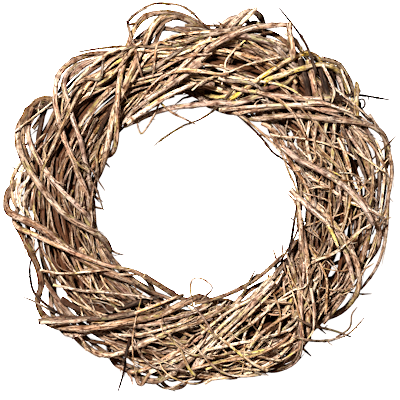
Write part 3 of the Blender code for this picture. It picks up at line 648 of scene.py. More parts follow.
    {"name": "strand_bottom_7", "radii": (1.5, 1.1), "bark": "straw",
     "points": [(8, -130, 22), (34, -125, 28), (58, -121, 30), (83, -113, 28), (101, -102, 18)]},
    {"name": "strand_bottom_8", "radii": (1.6, 1.2), "bark": "brown",
     "points": [(-4, -148, 16), (24, -141, 24), (50, -136, 26), (76, -124, 24), (94, -106, 18)]},
    {"name": "strand_top_fold_in", "radii": (2.0, 1.7), "bark": "brown",
     "points": [(34, 148, 6), (44, 159, 2), (53, 164, -2), (61, 156, -6)]},
    {"name": "strand_left_gap", "radii": (1.9, 1.5), "bark": "dark",
     "points": [(-148, 67, 0), (-141, 77, 2), (-134, 88, 2), (-126, 96, 0)]},
    {"name": "strand_left_bulge_1", "radii": (1.8, 1.4), "bark": "brown",
     "points": [(-158, 36, 8), (-161, 32, 10), (-166, 21, 12), (-166, 7, 12), (-162, -4, 8)]},
    {"name": "strand_left_bulge_2", "radii": (1.9, 1.5), "bark": "straw",
     "points": [(-153, 35, 12), (-157, 30, 16), (-161, 16, 18), (-161, 3, 18), (-156, -8, 12)]},
    {"name": "strand_left_bulge_3", "radii": (1.7, 1.3), "bark": "straw",
     "points": [(-149, 28, 16), (-152, 20, 20), (-158, 9, 20), (-158, -2, 18), (-155, -10, 10)]},
    {"name": "strand_left_bulge_4", "radii": (1.6, 1.2), "bark": "brown",
     "points": [(-143, 24, 18), (-148, 14, 22), (-154, 6, 22), (-154, -3, 20), (-148, -15, 12)]},
    {"name": "strand_left_bulge_5", "radii": (1.4, 1.1), "bark": "brown",
     "points": [(-163, 31, 2), (-167, 22, 4), (-168, 14, 6), (-167, 4, 6), (-163, -5, 2)]},
    {"name": "strand_left_bulge_6", "radii": (1.9, 1.5), "bark": "brown",
     "points": [(-145, 19, 18), (-147, 4, 20), (-146, -8, 18), (-142, -19, 10)]},
    {"name": "strand_left_gap_2", "radii": (2.6, 2.2), "bark": "tendril",
     "points": [(-134, 91, 0), (-138, 82, 6), (-140, 73, 8), (-143, 58, 8), (-143, 46, 4)]},
    # The upper dark strands are near-black canes laid as painted shade in the deep gaps between canes
    {"name": "strand_upper_dark_1", "radii": (2.6, 2.2), "bark": "tendril",
     "points": [(91, 129, 14), (95, 118, 20), (98, 105, 23), (100, 93, 22), (102, 76, 12)]},
    {"name": "strand_upper_dark_2", "radii": (2.6, 2.2), "bark": "tendril",
     "points": [(108, 125, 14), (112, 114, 20), (115, 104, 22), (118, 93, 20), (121, 78, 12)]},
    {"name": "strand_upper_dark_3", "radii": (2.4, 2.0), "bark": "dark",
     "points": [(53, 100, 18), (68, 104, 22), (80, 107, 22), (89, 114, 14)]},
    {"name": "strand_upper_right_1", "radii": (1.5, 1.2), "bark": "straw",
     "points": [(112, 123, 20), (118, 111, 25), (122, 99, 26), (120, 90, 20)]},
    {"name": "strand_upper_right_2", "radii": (1.3, 1.0), "bark": "straw",
     "points": [(130, 120, 12), (134, 109, 16), (138, 98, 16), (141, 87, 10)]},
    {"name": "strand_upper_right_3", "radii": (2.2, 1.8), "bark": "dark",
     "points": [(112, 130, 0), (127, 125, 4), (136, 112, 6), (141, 98, 6), (148, 84, 4), (158, 73, 0)]},
    {"name": "strand_upper_right_4", "radii": (1.1, 0.8), "bark": "straw",
     "points": [(120, 105, 24), (136, 92, 26), (154, 76, 16)]},
    {"name": "strand_upper_right_5", "radii": (2.3, 1.9), "bark": "brown",
     "points": [(98, 138, -4), (112, 129, 0), (123, 122, 4), (130, 109, 6), (134, 94, 6), (140, 82, 2)]},
    {"name": "strand_upper_fill_1", "radii": (2.4, 2.0), "bark": "dark",
     "points": [(45, 158, 2), (66, 154, 4), (78, 147, 4), (89, 136, 2), (100, 125, -4)]},
    {"name": "strand_upper_fill_2", "radii": (2.2, 1.8), "bark": "brown",
     "points": [(37, 152, 6), (53, 148, 10), (69, 143, 12), (82, 132, 12), (93, 122, 8)]},
    {"name": "strand_right_down_1", "radii": (1.7, 1.3), "bark": "straw",
     "points": [(101, 73, 14), (98, 58, 22), (99, 46, 22), (103, 32, 14)]},
    {"name": "strand_right_down_2", "radii": (1.9, 1.5), "bark": "brown",
     "points": [(108, 73, 14), (105, 58, 22), (106, 46, 23), (109, 30, 14)]},
    {"name": "strand_right_down_3", "radii": (1.7, 1.4), "bark": "straw",
     "points": [(116, 74, 14), (113, 58, 23), (112, 44, 23), (112, 28, 14)]},
    {"name": "strand_right_down_4", "radii": (1.9, 1.5), "bark": "straw",
     "points": [(123, 73, 14), (122, 58, 23), (121, 44, 23), (119, 24, 14)]},
    {"name": "strand_right_down_5", "radii": (1.8, 1.5), "bark": "brown",
     "points": [(130, 72, 14), (130, 58, 22), (132, 46, 22), (134, 32, 14)]},
    {"name": "strand_right_fan_4", "radii": (1.9, 1.5), "bark": "brown",
     "points": [(130, 69, 16), (140, 57, 22), (150, 42, 20), (161, 30, 10)]},
    {"name": "strand_right_fan_5", "radii": (1.7, 1.4), "bark": "dark",
     "points": [(129, 68, 14), (136, 53, 20), (145, 37, 20), (152, 22, 12)]},
    {"name": "strand_right_fan_6", "radii": (1.6, 1.3), "bark": "brown",
     "points": [(138, 71, 14), (148, 60, 18), (159, 48, 14), (168, 32, 4)]},
    {"name": "strand_inner_right_3", "radii": (2.0, 1.6), "bark": "brown",
     "points": [(53, 81, 0), (68, 73, 8), (80, 59, 12), (91, 44, 12), (98, 28, 8), (102, 10, 0)]},
    {"name": "strand_inner_right_4", "radii": (1.8, 1.4), "bark": "dark",
     "points": [(58, 82, -6), (72, 72, -2), (82, 58, 0), (88, 42, 0), (93, 24, 0), (94, 4, -6)]},
    {"name": "strand_inner_right_5", "radii": (1.6, 1.2), "bark": "straw",
     "points": [(66, 78, 6), (76, 68, 10), (85, 55, 12), (93, 39, 10), (97, 22, 4)]},
    {"name": "strand_top_loop_in", "radii": (3.0, 2.4), "bark": "brown",
     "points": [(-54, 122, 14), (-48, 138, 16), (-42, 150, 12), (-36, 161, 6), (-27, 167, 0)]},
    {"name": "strand_top_loop_knot", "radii": (2.2, 1.8), "bark": "dark",
     "points": [(-38, 143, 8), (-34, 153, 8), (-29, 161, 4)]},
    {"name": "strand_top_peak", "radii": (2.7, 2.3), "bark": "straw",
     "points": [(3, 127, 22), (18, 140, 27), (33, 155, 24), (46, 167, 12), (54, 175, 2)]},
    {"name": "strand_top_rim_light", "radii": (2.4, 2.0), "bark": "straw",
     "points": [(-62, 71, 14), (-42, 86, 22), (-22, 98, 24), (-1, 107, 18)]},
    {"name": "strand_left_arc_2", "radii": (2.3, 1.9), "bark": "dark",
     "points": [(-148, 86, 0), (-154, 71, 4), (-156, 55, 6), (-151, 39, 8), (-144, 24, 8)]},
    # Strands named dark from here on are near-black canes laid as painted shade in the deep gaps between
    # canes
    {"name": "strand_left_dark_1", "radii": (2.2, 1.8), "bark": "tendril",
     "points": [(-71, 93, 18), (-78, 82, 22), (-85, 70, 22), (-89, 58, 14)]},
    {"name": "strand_inner_low_2", "radii": (2.6, 2.2), "bark": "dark",
     "points": [(-48, -66, -2), (-37, -73, 2), (-28, -79, 4), (-17, -86, 4), (-4, -90, -2)]},
    {"name": "strand_low_dark_2", "radii": (2.8, 2.4), "bark": "tendril",
     "points": [(-122, -86, 4), (-109, -94, 12), (-93, -97, 18), (-75, -95, 18), (-55, -90, 14),
                (-35, -85, 6)]},
    {"name": "strand_low_dark_3", "radii": (1.8, 1.4), "bark": "dark",
     "points": [(-116, -112, 0), (-102, -122, 4), (-87, -126, 6), (-69, -128, 6)]},
    {"name": "strand_right_dark_1", "radii": (2.2, 1.9), "bark": "tendril",
     "points": [(112, 68, 8), (116, 50, 16), (119, 30, 12)]},
    {"name": "strand_right_dark_2", "radii": (2.3, 1.9), "bark": "dark",
     "points": [(138, 42, 4), (145, 23, 8), (149, 5, 4)]},
    {"name": "strand_right_dark_3", "radii": (2.0, 1.7), "bark": "dark",
     "points": [(145, 66, 2), (153, 50, 6), (158, 33, 2)]},
    {"name": "strand_right_dark_4", "radii": (1.6, 1.3), "bark": "dark",
     "points": [(169, 39, 0), (171, 21, 2), (169, 1, 2), (165, -17, 0)]},
    {"name": "strand_right_dark_5", "radii": (2.4, 2.0), "bark": "tendril",
     "points": [(139, -4, 4), (144, -22, 8), (140, -40, 4)]},
    {"name": "strand_upper_dark_4", "radii": (2.4, 2.0), "bark": "tendril",
     "points": [(119, 124, 2), (123, 112, 6), (126, 101, 6), (129, 90, 2)]},
    {"name": "strand_upper_dark_5", "radii": (2.0, 1.7), "bark": "tendril",
     "points": [(22, 119, 18), (38, 112, 22), (54, 106, 18)]},
    {"name": "strand_bottom_dark_1", "radii": (2.2, 1.9), "bark": "tendril",
     "points": [(-1, -124, 18), (13, -115, 24), (26, -106, 18)]},
    {"name": "strand_bottom_9", "radii": (1.8, 1.4), "bark": "straw",
     "points": [(15, -134, 18), (35, -117, 28), (53, -104, 29), (70, -88, 20)]},
    {"name": "strand_bottom_10", "radii": (1.7, 1.3), "bark": "straw",
     "points": [(44, -144, 12), (69, -132, 24), (86, -121, 24), (94, -105, 16)]},
    {"name": "strand_bottom_11", "radii": (1.6, 1.3), "bark": "straw",
     "points": [(101, -76, 24), (104, -94, 30), (104, -114, 20)]},
    {"name": "strand_right_down_6", "radii": (1.8, 1.4), "bark": "straw",
     "points": [(126, 58, 20), (133, 41, 24), (138, 24, 16)]},
    {"name": "strand_low_fork", "radii": (2.2, 1.8), "bark": "brown",
     "points": [(-10, -120, 14), (-30, -139, 16), (-42, -152, 8), (-51, -164, 0), (-56, -156, -10)]},
]

# Fine tips and curls that stand out of the outline and into the hole
tipTwigs = [
    {"name": "tip_top_left", "radii": (1.3, 0.8), "bark": "dark",
     "points": [(-50, 137, 2), (-65, 142, 8), (-88, 140, 6), (-110, 136, -2)]},
    {"name": "tip_left", "radii": (0.9, 0.6), "bark": "dark",
     "points": [(-150, 20, 4), (-160, 27, 4), (-169, 34, 0)]},
    {"name": "tip_left_low", "radii": (0.9, 0.7), "bark": "brown",
     "points": [(-128, -100, 8), (-148, -89, 2), (-158, -85, 0)]},
    {"name": "tip_right_low_1", "radii": (0.9, 0.7), "bark": "dark",
     "points": [(126, -122, 2), (138, -113, 2), (140, -101, 2), (145, -94, 0)]},
    {"name": "tip_right_low_2", "radii": (1.5, 1.0), "bark": "dark",
     "points": [(88, -122, 4), (95, -131, 2), (103, -139, 0)]},
    {"name": "tip_right_low_3", "radii": (0.9, 0.7), "bark": "tendril",
     "points": [(134, -80, 4), (148, -82, 2), (158, -82, 0)]},
    {"name": "tip_right", "radii": (0.8, 0.6), "bark": "dark",
     "points": [(158, 40, 8), (173, 54, 6), (181, 62, 2)]},
    {"name": "tip_inner_1", "radii": (1.1, 0.7), "bark": "dark",
     "points": [(40, -84, 8), (45, -74, 8), (49, -66, 6), (52, -60, 6)]},
    {"name": "tip_inner_2", "radii": (1.1, 0.7), "bark": "dark",
     "points": [(47, -70, 8), (55, -64, 8), (60, -65, 6), (62, -57, 6)]},
    {"name": "tip_inner_3", "radii": (0.9, 0.6), "bark": "dark",
     "points": [(-26, -92, 6), (-21, -86, 6), (-17, -81, 4)]},
    {"name": "tip_inner_4", "radii": (1.0, 0.7), "bark": "dark",
     "points": [(-104, 38, 14), (-94, 30, 16), (-89, 22, 14), (-82, 11, 10)]},
    {"name": "tip_inner_5", "radii": (1.1, 0.7), "bark": "dark",
     "points": [(-96, 20, 10), (-90, 12, 10), (-84, -6, 8)]},
    {"name": "curl_bottom", "radii": (0.8, 0.6), "bark": "brown",
     "points": [(-4, -92, 4), (-6, -77, 6), (-4, -69, 6), (3, -68, 6), (10, -72, 6), (14, -77, 6),
                (8, -84, 4), (-2, -92, 2)]},
    {"name": "curl_top_right", "radii": (0.8, 0.7), "bark": "tendril",
     "points": [(138, 92, 10), (143, 91, 10), (148, 94, 10), (151, 92, 10), (151, 87, 10), (147, 84, 10),
                (147, 89, 12), (144, 94, 13)]},
]

# Places where the floor shows through in the photograph, which a twig leaves free where it finds another
# course: middle x and y and radius, in mm
openPlaces = [(-145, 82, 5), (-141, 67, 6), (-131, 75, 5), (-113, 62, 4), (-101, 73, 3), (-90, 121, 4),
              (-78, 92, 3), (-41, 159, 5), (-31, 152, 5), (-22, 92, 4), (13, 126, 3), (72, 151, 5),
              (86, 60, 4), (136, 41, 5), (144, 31, 6), (164, 49, 5), (-149, -35, 5), (-126, -85, 9),
              (-46, -73, 3), (-97, -120, 5), (-87, -122, 4), (90, -38, 4), (129, -49, 5), (153, -39, 5),
              (152, -58, 6), (60, -112, 4), (65, -107, 4), (60, -73, 3),
              (-70, 56, 4), (-74, 48, 4), (-78, 39, 4), (-83, 30, 4), (-87, 21, 4), (-89, 12, 4),
              (-89, 3, 4), (-88, -6, 4), (-86, -15, 4), (-83, -24, 4), (-78, -33, 4), (-71, -144, 7),
              (-82, -143, 6), (-94, -145, 6), (-107, -136, 5), (-62, -147, 5), (9, -167, 5), (22, -164, 5),
              (35, -163, 5), (48, -160, 5), (60, -161, 5), (75, -156, 5), (86, -150, 5), (95, -139, 5),
              (101, -128, 5), (108, -120, 5), (120, -114, 5), (133, -108, 5), (144, -95, 5), (153, -85, 5),
              (164, -76, 5), (170, -63, 5)]

# Twigs between the canes. Turns and twists are degrees round the bundle, lengths mm along the ring, standOffs
# the mm from the core that a twig keeps to where it finds room.
twigKinds = [
    {"name": "deep_twigs", "seed": 20, "count": 110, "turns": (150, 390), "lengths": (90, 220),
     "twists": (-50, 50), "standOffs": (8, 24), "radii": (1.2, 2.3), "barks": ("dark", "dark", "brown"),
     "ease": 0.012},
    {"name": "low_twigs", "seed": 25, "count": 90, "turns": (205, 335), "lengths": (90, 220),
     "twists": (-40, 40), "standOffs": (20, 30), "radii": (1.4, 2.4), "barks": ("dark", "dark", "brown"),
     "ease": 0.012},
    {"name": "inner_twigs", "seed": 21, "count": 100, "turns": (0, 360), "lengths": (70, 190),
     "twists": (-70, 70), "standOffs": (12, 27), "radii": (0.9, 1.9),
     "barks": ("brown", "dark", "grey", "brown"), "ease": 0.009},
    {"name": "upper_right_canes", "seed": 29, "count": 26, "around": (50, 90), "turns": (10, 170),
     "lengths": (50, 120), "twists": (-25, 25), "standOffs": (18, 28), "radii": (1.4, 2.5),
     "barks": ("brown", "straw", "brown", "grey"), "ease": 0.008},
    {"name": "upper_left_canes", "seed": 28, "count": 30, "around": (112, 152), "turns": (10, 170),
     "lengths": (50, 120), "twists": (-25, 25), "standOffs": (17, 25), "radii": (1.6, 2.6),
     "barks": ("brown", "straw", "brown", "grey"), "ease": 0.008},
    {"name": "front_twigs", "seed": 22, "count": 140, "around": (72, 398), "turns": (-15, 195),
     "lengths": (45, 140), "twists": (-40, 40), "standOffs": (22, 32), "radii": (0.9, 1.9),
     "barks": ("brown", "straw", "brown", "grey", "straw"), "ease": 0.006},
    {"name": "filler_twigs", "seed": 26, "count": 190, "around": (78, 395), "turns": (0, 180),
     "lengths": (20, 70), "twists": (-35, 35), "standOffs": (18, 29), "radii": (0.7, 1.4),
     "barks": ("brown", "straw", "brown", "grey", "straw"), "ease": 0.005},
    {"name": "back_twigs", "seed": 23, "count": 80, "turns": (195, 345), "lengths": (60, 170),
     "twists": (-45, 45), "standOffs": (26, 36), "radii": (0.8, 1.6), "barks": ("brown", "grey", "dark"),
     "ease": 0.006},
    {"name": "low_sticks", "seed": 27, "count": 46, "around": (262, 330), "turns": (20, 160),
     "lengths": (30, 80), "twists": (30, 120), "standOffs": (24, 34), "radii": (0.9, 1.6),
     "barks": ("straw", "straw", "brown"), "ease": 0.006},
    {"name": "crossing_twigs", "seed": 24, "count": 22, "around": (-110, -20), "turns": (10, 170),
     "lengths": (12, 45), "twists": (-130, 130), "standOffs": (31, 39), "radii": (0.5, 1.0),
     "barks": ("straw", "straw", "brown"), "ease": 0.005},
    {"name": "right_fine_twigs", "seed": 31, "count": 34, "around": (-28, 32), "turns": (15, 150),
     "lengths": (10, 36), "twists": (-110, 110), "standOffs": (26, 35), "radii": (0.5, 0.9),
     "barks": ("straw", "straw", "brown"), "ease": 0.005},
]

# How a twig wanders on its way: its sway in radians, and its waves in stand-off in metres
wander = {"sway": 0.2, "places": 30, "wave": 0.002, "waves": 5}


def layRows(rows):
    canes = []
    for row in rows:
        radii = [radius * mm for radius in row["radii"]]
        canes.append(threadOver(row["name"], row["bark"], row["points"], radii, threading["strandEase"]))
    return canes


def coversOpening(path):
    for x, y, radius in openPlaces:
        if np.hypot(path[:, 0] / mm - x, path[:, 1] / mm - y).min() < radius:
            return True
    return False


def twigCourse(kind, chance):
    start = chance.uniform(*np.radians(kind.get("around", (0, 360))))
    turn = math.radians(chance.uniform(*kind["turns"]))
    length = chance.uniform(*kind["lengths"]) * mm
    twist = math.radians(chance.uniform(*kind["twists"]))
    sway = chance.uniform(-wander["sway"], wander["sway"])
    part = np.linspace(0, 1, wander["places"])
    turns = turn + twist * (part - 0.5) + sway * np.sin(2 * math.pi * part + start)
    wave = wander["wave"] * np.sin(wander["waves"] * part + start)
    standOff = chance.uniform(*kind["standOffs"]) * mm + wave
    angle = start + length / laying["ringRadius"] * part * chance.choice((-1, 1))
    return np.stack([angle, turns, standOff], axis=1)


def layTwigs(kind):
    chance = random.Random(kind["seed"])
    twigs = []
    for index in range(kind["count"]):
        for _ in range(threading["tries"]):
            thick = chance.uniform(*kind["radii"]) * mm
            radii = (thick, threading["taper"] * thick)
            path = threadRound(twigCourse(kind, chance), radii, kind["ease"])
            if not coversOpening(path):
                break
        twigs.append(threadedCane(f"{kind['name']}_{index + 1}", chance.choice(kind["barks"]), path, radii))
    return twigs


strands = layRows(strandCanes)
tips = layRows(tipTwigs)
print("threaded", len(strands), "strands and", len(tips), "tips")
twigs = {kind["name"]: layTwigs(kind) for kind in twigKinds}
print("threaded", sum(len(group) for group in twigs.values()), "twigs")


# Bark made round a course

# A cane's sides, the length between its rings, how far it leaves its course from knot to knot, the spacing
# of its knots and their share of the radius, the share of the ridges, and the bounds of its tones, each
# from 0 to 1: brightness, hue and depth of colour
fineness = {
    "wrap": {"sides": 13, "step": 0.0018, "kink": 0.0005, "knotSpacing": 0.042, "knot": 0.26, "ridge": 0.09,
             "tones": ((0.50, 0.90), (0.1, 0.7), (0.2, 0.8))},
    "bundle": {"sides": 10, "step": 0.0026, "kink": 0.0007, "knotSpacing": 0.046, "knot": 0.24, "ridge": 0.09,
               "tones": ((0.05, 0.65), (0.1, 0.9), (0.2, 0.9))},
    "strand": {"sides": 10, "step": 0.0020, "kink": 0.0006, "knotSpacing": 0.032, "knot": 0.26, "ridge": 0.09,
               "tones": ((0.20, 0.90), (0.1, 0.8), (0.1, 0.8))},
    "twig": {"sides": 6, "step": 0.0026, "kink": 0.0009, "knotSpacing": 0.022, "knot": 0.30, "ridge": 0.06,
             "tones": ((0.0, 1.0), (0.2, 1.0), (0.2, 1.0))},
    "stray": {"sides": 7, "step": 0.0016, "kink": 0.0006, "knotSpacing": 0.022, "knot": 0.40, "ridge": 0.05,
              "tones": ((0.0, 0.5), (0.2, 0.8), (0.2, 0.8))},
    "stub": {"sides": 6, "step": 0.0014, "kink": 0.0002, "knotSpacing": 0.020, "knot": 0.30, "ridge": 0.05,
             "tones": ((0.3, 0.8), (0.2, 0.8), (0.2, 0.8))},
    "spur": {"sides": 5, "step": 0.0012, "kink": 0.0001, "knotSpacing": 0.020, "knot": 0.20, "ridge": 0.03,
             "tones": ((0.0, 0.7), (0.2, 0.8), (0.2, 0.8))},
    "peel": {"sides": 4, "step": 0.0030, "kink": 0.0003, "knotSpacing": 0.012, "knot": 0.10, "ridge": 0.02,
             "flat": 0.22, "tones": ((0.6, 1.0), (0.3, 1.0), (0.2, 0.8))},
}
darkerCanes = {"wrap_cane_left_low_right": (0.1, 0.3), "wrap_cane_left_inner": (0.1, 0.3),
               "wrap_cane_low_cut": (0.2, 0.4)}  # their bounds of brightness
# A cut end bulges a little, and a torn end thins out over its last few millimetres. Lengths in metres.
cutEnd = {"rim": 0.80, "out": 0.0003, "grain": 0.8}
tornEnd = {"length": 0.007, "left": 0.45, "curve": 0.6}
# The slow swelling of a cane, the ridges wound round it, how far a knot reaches and leans to a side, and
# where its bark may start. Lengths and the start are in metres, and the turn of a knot in radians.
relief = {"fewestRings": 5, "barkStart": (0, 20), "swell": 0.05, "swellLength": 0.011, "ridges": 5,
          "ridgeLength": 0.009, "slowRidges": 3, "slowRidge": 0.6, "slowRidgeLength": 0.016,
          "knotReach": 0.6, "knotLeast": 0.0008, "knotRound": 0.5, "knotSide": 1.1, "knotTurn": 0.5,
          "knotSpread": (0.6, 1.5)}
kinkEase = 0.0030  # metres of curve at each knot
# Bark deep in the bundle and low down is painted darker. This is painted shade, fitted to the dark tones of
# the photograph, and it stays in the colour under any light. These are the stand-off where it's quite dark
# and where it's bright, and the same for the height over the core, which counts less.
deepShadePaint = {"dark": 0.021, "bright": 0.032, "lowDark": -0.004, "lowBright": 0.011, "lowShare": 0.7,
            "rim": 0.039, "rimWidth": 0.009, "rimLeast": 0.65}

# The steep sides of a cane are painted darker too, as painted shade, also fitted to the photograph. These are
# how far up a side looks where it's bright and where it's quite dark, and the share of that dark.
flank = {"bright": 0.75, "dark": 0.25, "share": 0.7}

# Short pointed spurs and lifted strips of bark, a cane at a time. Lengths in metres, and the first and the
# next as shares of the spacing.
spurs = {"spacing": 0.045, "lengths": (0.0030, 0.0085), "radii": (0.0008, 0.0003), "lean": 0.9, "top": 0.0340,
         "first": (0.2, 1.0), "next": (0.5, 1.6), "bend": 0.5, "curl": (0.3, 1.2), "endRoom": 0.01,
         "ahead": 0.002}
peels = {"spacing": 0.022, "lengths": (0.010, 0.030), "widths": (0.0004, 0.0008), "lift": (0.0006, 0.0032),
         "places": 8, "first": (0.2, 1.0), "next": (0.4, 1.6), "taper": 0.7}


def unitRows(rows):
    return rows / np.linalg.norm(rows, axis=1)[:, None]


def courseFrames(path, across=(0.3, 0.2, 0.9)):  # two directions across the course, carried without twisting
    ahead = unitRows(np.gradient(path, axis=0))
    aside = np.zeros_like(path)
    aside[0] = np.cross(ahead[0], across)
    aside[0] /= np.linalg.norm(aside[0])
    for index in range(1, len(path)):
        carried = aside[index - 1] - ahead[index] * np.dot(aside[index - 1], ahead[index])
        aside[index] = carried / np.linalg.norm(carried)
    return ahead, aside, np.cross(ahead, aside)


def kinked(where, knots, size, chance):  # straight from knot to knot, with a short curve at each
    shares = [chance.uniform(-size, size) for _ in knots]
    fine = np.interp(where, knots, shares)
    half = max(1, int(kinkEase / (where[1] - where[0])))
    bell = 1 + np.cos(np.linspace(-math.pi, math.pi, 2 * half + 3)[1:-1])
    return np.convolve(np.pad(fine, half, mode="edge"), bell / bell.sum(), mode="valid")


def barkSurface(path, radii, look, chance, across=(0.3, 0.2, 0.9)):
    lengths = pathLengths(path)
    rings = max(relief["fewestRings"], int(lengths[-1] / look["step"]) + 1)
    where = np.linspace(0, lengths[-1], rings)
    path = along(path, lengths, where)
    base = np.interp(where, (0, where[-1]), radii)
    ahead, aside, above = courseFrames(path, across)
    knots = [-0.5 * look["knotSpacing"]]
    while knots[-1] < where[-1]:
        knots.append(knots[-1] + look["knotSpacing"] * chance.uniform(*relief["knotSpread"]))
    path = path + (kinked(where, knots, look["kink"], chance)[:, None] * aside
                   + kinked(where, knots, look["kink"], chance)[:, None] * above)
    ahead, aside, above = courseFrames(path, across)
    sides = look["sides"]
    turns = np.linspace(0, 2 * math.pi, sides, endpoint=False)
    swell = 1 + relief["swell"] * np.sin(where / relief["swellLength"] + chance.uniform(0, anyTurn))
    bulge = np.zeros((rings, sides))
    knotMark = np.zeros(rings)
    side = chance.uniform(0, anyTurn)
    for spot in knots[1:-1]:
        near = np.exp(-((where - spot) / (relief["knotReach"] * base + relief["knotLeast"])) ** 2)
        knotMark = np.maximum(knotMark, near)
        facing = np.maximum(0, np.cos(turns - side)) ** 3
        bulge += look["knot"] * near[:, None] * (relief["knotRound"] + relief["knotSide"] * facing[None])
        side += math.pi + chance.uniform(-relief["knotTurn"], relief["knotTurn"])
    wound = relief["ridges"] * turns[None] + where[:, None] / relief["ridgeLength"]
    ridges = look["ridge"] * np.sin(wound + chance.uniform(0, anyTurn))
    wound = relief["slowRidges"] * turns[None] - where[:, None] / relief["slowRidgeLength"]
    ridges = ridges + relief["slowRidge"] * look["ridge"] * np.sin(wound + chance.uniform(0, anyTurn))
    torn = np.clip((where[-1] - where) / tornEnd["length"], 0, 1)
    taper = tornEnd["left"] + (1 - tornEnd["left"]) * torn ** tornEnd["curve"]
    radius = base[:, None] * taper[:, None] * (swell[:, None] + bulge + ridges)
    ring = (path[:, None] + radius[:, :, None] * (np.cos(turns)[None, :, None] * aside[:, None]
                                                  + look.get("flat", 1) * np.sin(turns)[None, :, None]
                                                  * above[:, None]))
    startRim = path[0] + (ring[0] - path[0]) * cutEnd["rim"] - ahead[0] * cutEnd["out"]
    endRim = path[-1] + (ring[-1] - path[-1]) * cutEnd["rim"] + ahead[-1] * cutEnd["out"]
    points = np.vstack([(path[0] - ahead[0] * cutEnd["out"])[None], startRim, ring.reshape(-1, 3), endRim,
                        (path[-1] + ahead[-1] * cutEnd["out"])[None]])
    offset = chance.uniform(*relief["barkStart"])
    bark = np.stack([np.repeat(where + offset, sides), (base[:, None] * np.cos(turns)).ravel(),
                     (base[:, None] * np.sin(turns)).ravel()], axis=1)
    bark = np.vstack([[[offset, 0, 0]], bark[:sides] * (1, cutEnd["grain"], cutEnd["grain"]), bark,
                      bark[-sides:] * (1, cutEnd["grain"], cutEnd["grain"]),
                      [[offset + where[-1], 0, 0]]])
    marks = np.concatenate([np.zeros(1 + sides), np.repeat(knotMark, sides), np.zeros(1 + sides)])
    upward = np.cos(turns)[None] * aside[:, 2:] + np.sin(turns)[None] * above[:, 2:]
    upward = np.concatenate([np.ones(1 + sides), upward.ravel(), np.ones(1 + sides)])
    ends = np.concatenate([np.ones(1 + sides), np.zeros(rings * sides), np.ones(1 + sides)])
    around = np.arange(sides)
    after = (around + 1) % sides
    faces = []
    for row in range(rings + 1):
        low = 1 + row * sides
        faces.append(np.stack([low + around, low + after, low + sides + after, low + sides + around], axis=1))
    last = len(points) - 1
    fans = [np.stack([np.zeros(sides, int), 1 + after, 1 + around], axis=1),
            np.stack([np.full(sides, last), last - sides + around, last - sides + after], axis=1)]
    return {"points": points, "bark": bark, "marks": marks, "ends": ends, "upward": upward,
            "quads": np.vstack(faces), "fans": np.vstack(fans)}


def paintedDeepShade(points):  # 1 where the painted shade deep in the bundle and low down is full, 0 outside
    outward = np.hypot(points[:, 0], points[:, 1]) - laying["ringRadius"]
    standOff = np.hypot(outward, points[:, 2] / laying["flatness"])
    inside = np.clip((deepShadePaint["bright"] - standOff) / (deepShadePaint["bright"] - deepShadePaint["dark"]), 0, 1)
    lowReach = deepShadePaint["lowBright"] - deepShadePaint["lowDark"]
    low = np.clip((deepShadePaint["lowBright"] - points[:, 2]) / lowReach, 0, 1)
    low *= np.clip((deepShadePaint["rim"] - standOff) / deepShadePaint["rimWidth"], deepShadePaint["rimLeast"], 1)
    return np.maximum(inside, deepShadePaint["lowShare"] * low)


def flankShade(upward):
    reach = flank["bright"] - flank["dark"]
    return flank["share"] * np.clip((flank["bright"] - upward) / reach, 0, 1)


def growSpurs(path, chance):  # parts of a cane: short points that lean forward out of its bark
    lengths = pathLengths(path)
    grown = []
    where = chance.uniform(*spurs["first"]) * spurs["spacing"]
    while where < lengths[-1] - spurs["endRoom"]:
        here = along(path, lengths, np.array([where]))[0]
        ahead = along(path, lengths, np.array([where + spurs["ahead"]]))[0] - here
        ahead /= np.linalg.norm(ahead)
        side = np.cross(ahead, [chance.uniform(-1, 1) for _ in range(3)])
        side /= np.linalg.norm(side)
        size = chance.uniform(*spurs["lengths"])
        middle = here + size * spurs["bend"] * (side + spurs["bend"] * spurs["lean"] * ahead)
        tip = here + size * (side + spurs["lean"] * ahead * chance.uniform(*spurs["curl"]))
        if tip[2] < spurs["top"]:
            grown.append((np.array([here, middle, tip]), spurs["radii"], fineness["spur"]))
        where += spurs["spacing"] * chance.uniform(*spurs["next"])
    return grown


def growPeels(path, radii, chance):  # parts of a cane: flat strips that have come loose at one end
    lengths = pathLengths(path)
    grown = []
    where = chance.uniform(*peels["first"]) * peels["spacing"]
    while where < lengths[-1] - peels["lengths"][1]:
        size = chance.uniform(*peels["lengths"])
        places = along(path, lengths, where + size * np.linspace(0, 1, peels["places"]))
        ahead, aside, above = courseFrames(places)
        turn = chance.uniform(0, 2 * math.pi)
        out = math.cos(turn) * aside + math.sin(turn) * above
        radius = radii[0] + (radii[1] - radii[0]) * where / lengths[-1]
        lift = radius + chance.uniform(*peels["lift"]) * np.linspace(0, 1, peels["places"]) ** 2
        strip = places + out * lift[:, None]
        width = chance.uniform(*peels["widths"])
        if strip[:, 2].max() < spurs["top"]:
            grown.append((strip, (width, peels["taper"] * width), fineness["peel"], out[0]))
        where += peels["spacing"] * chance.uniform(*peels["next"])
    return grown


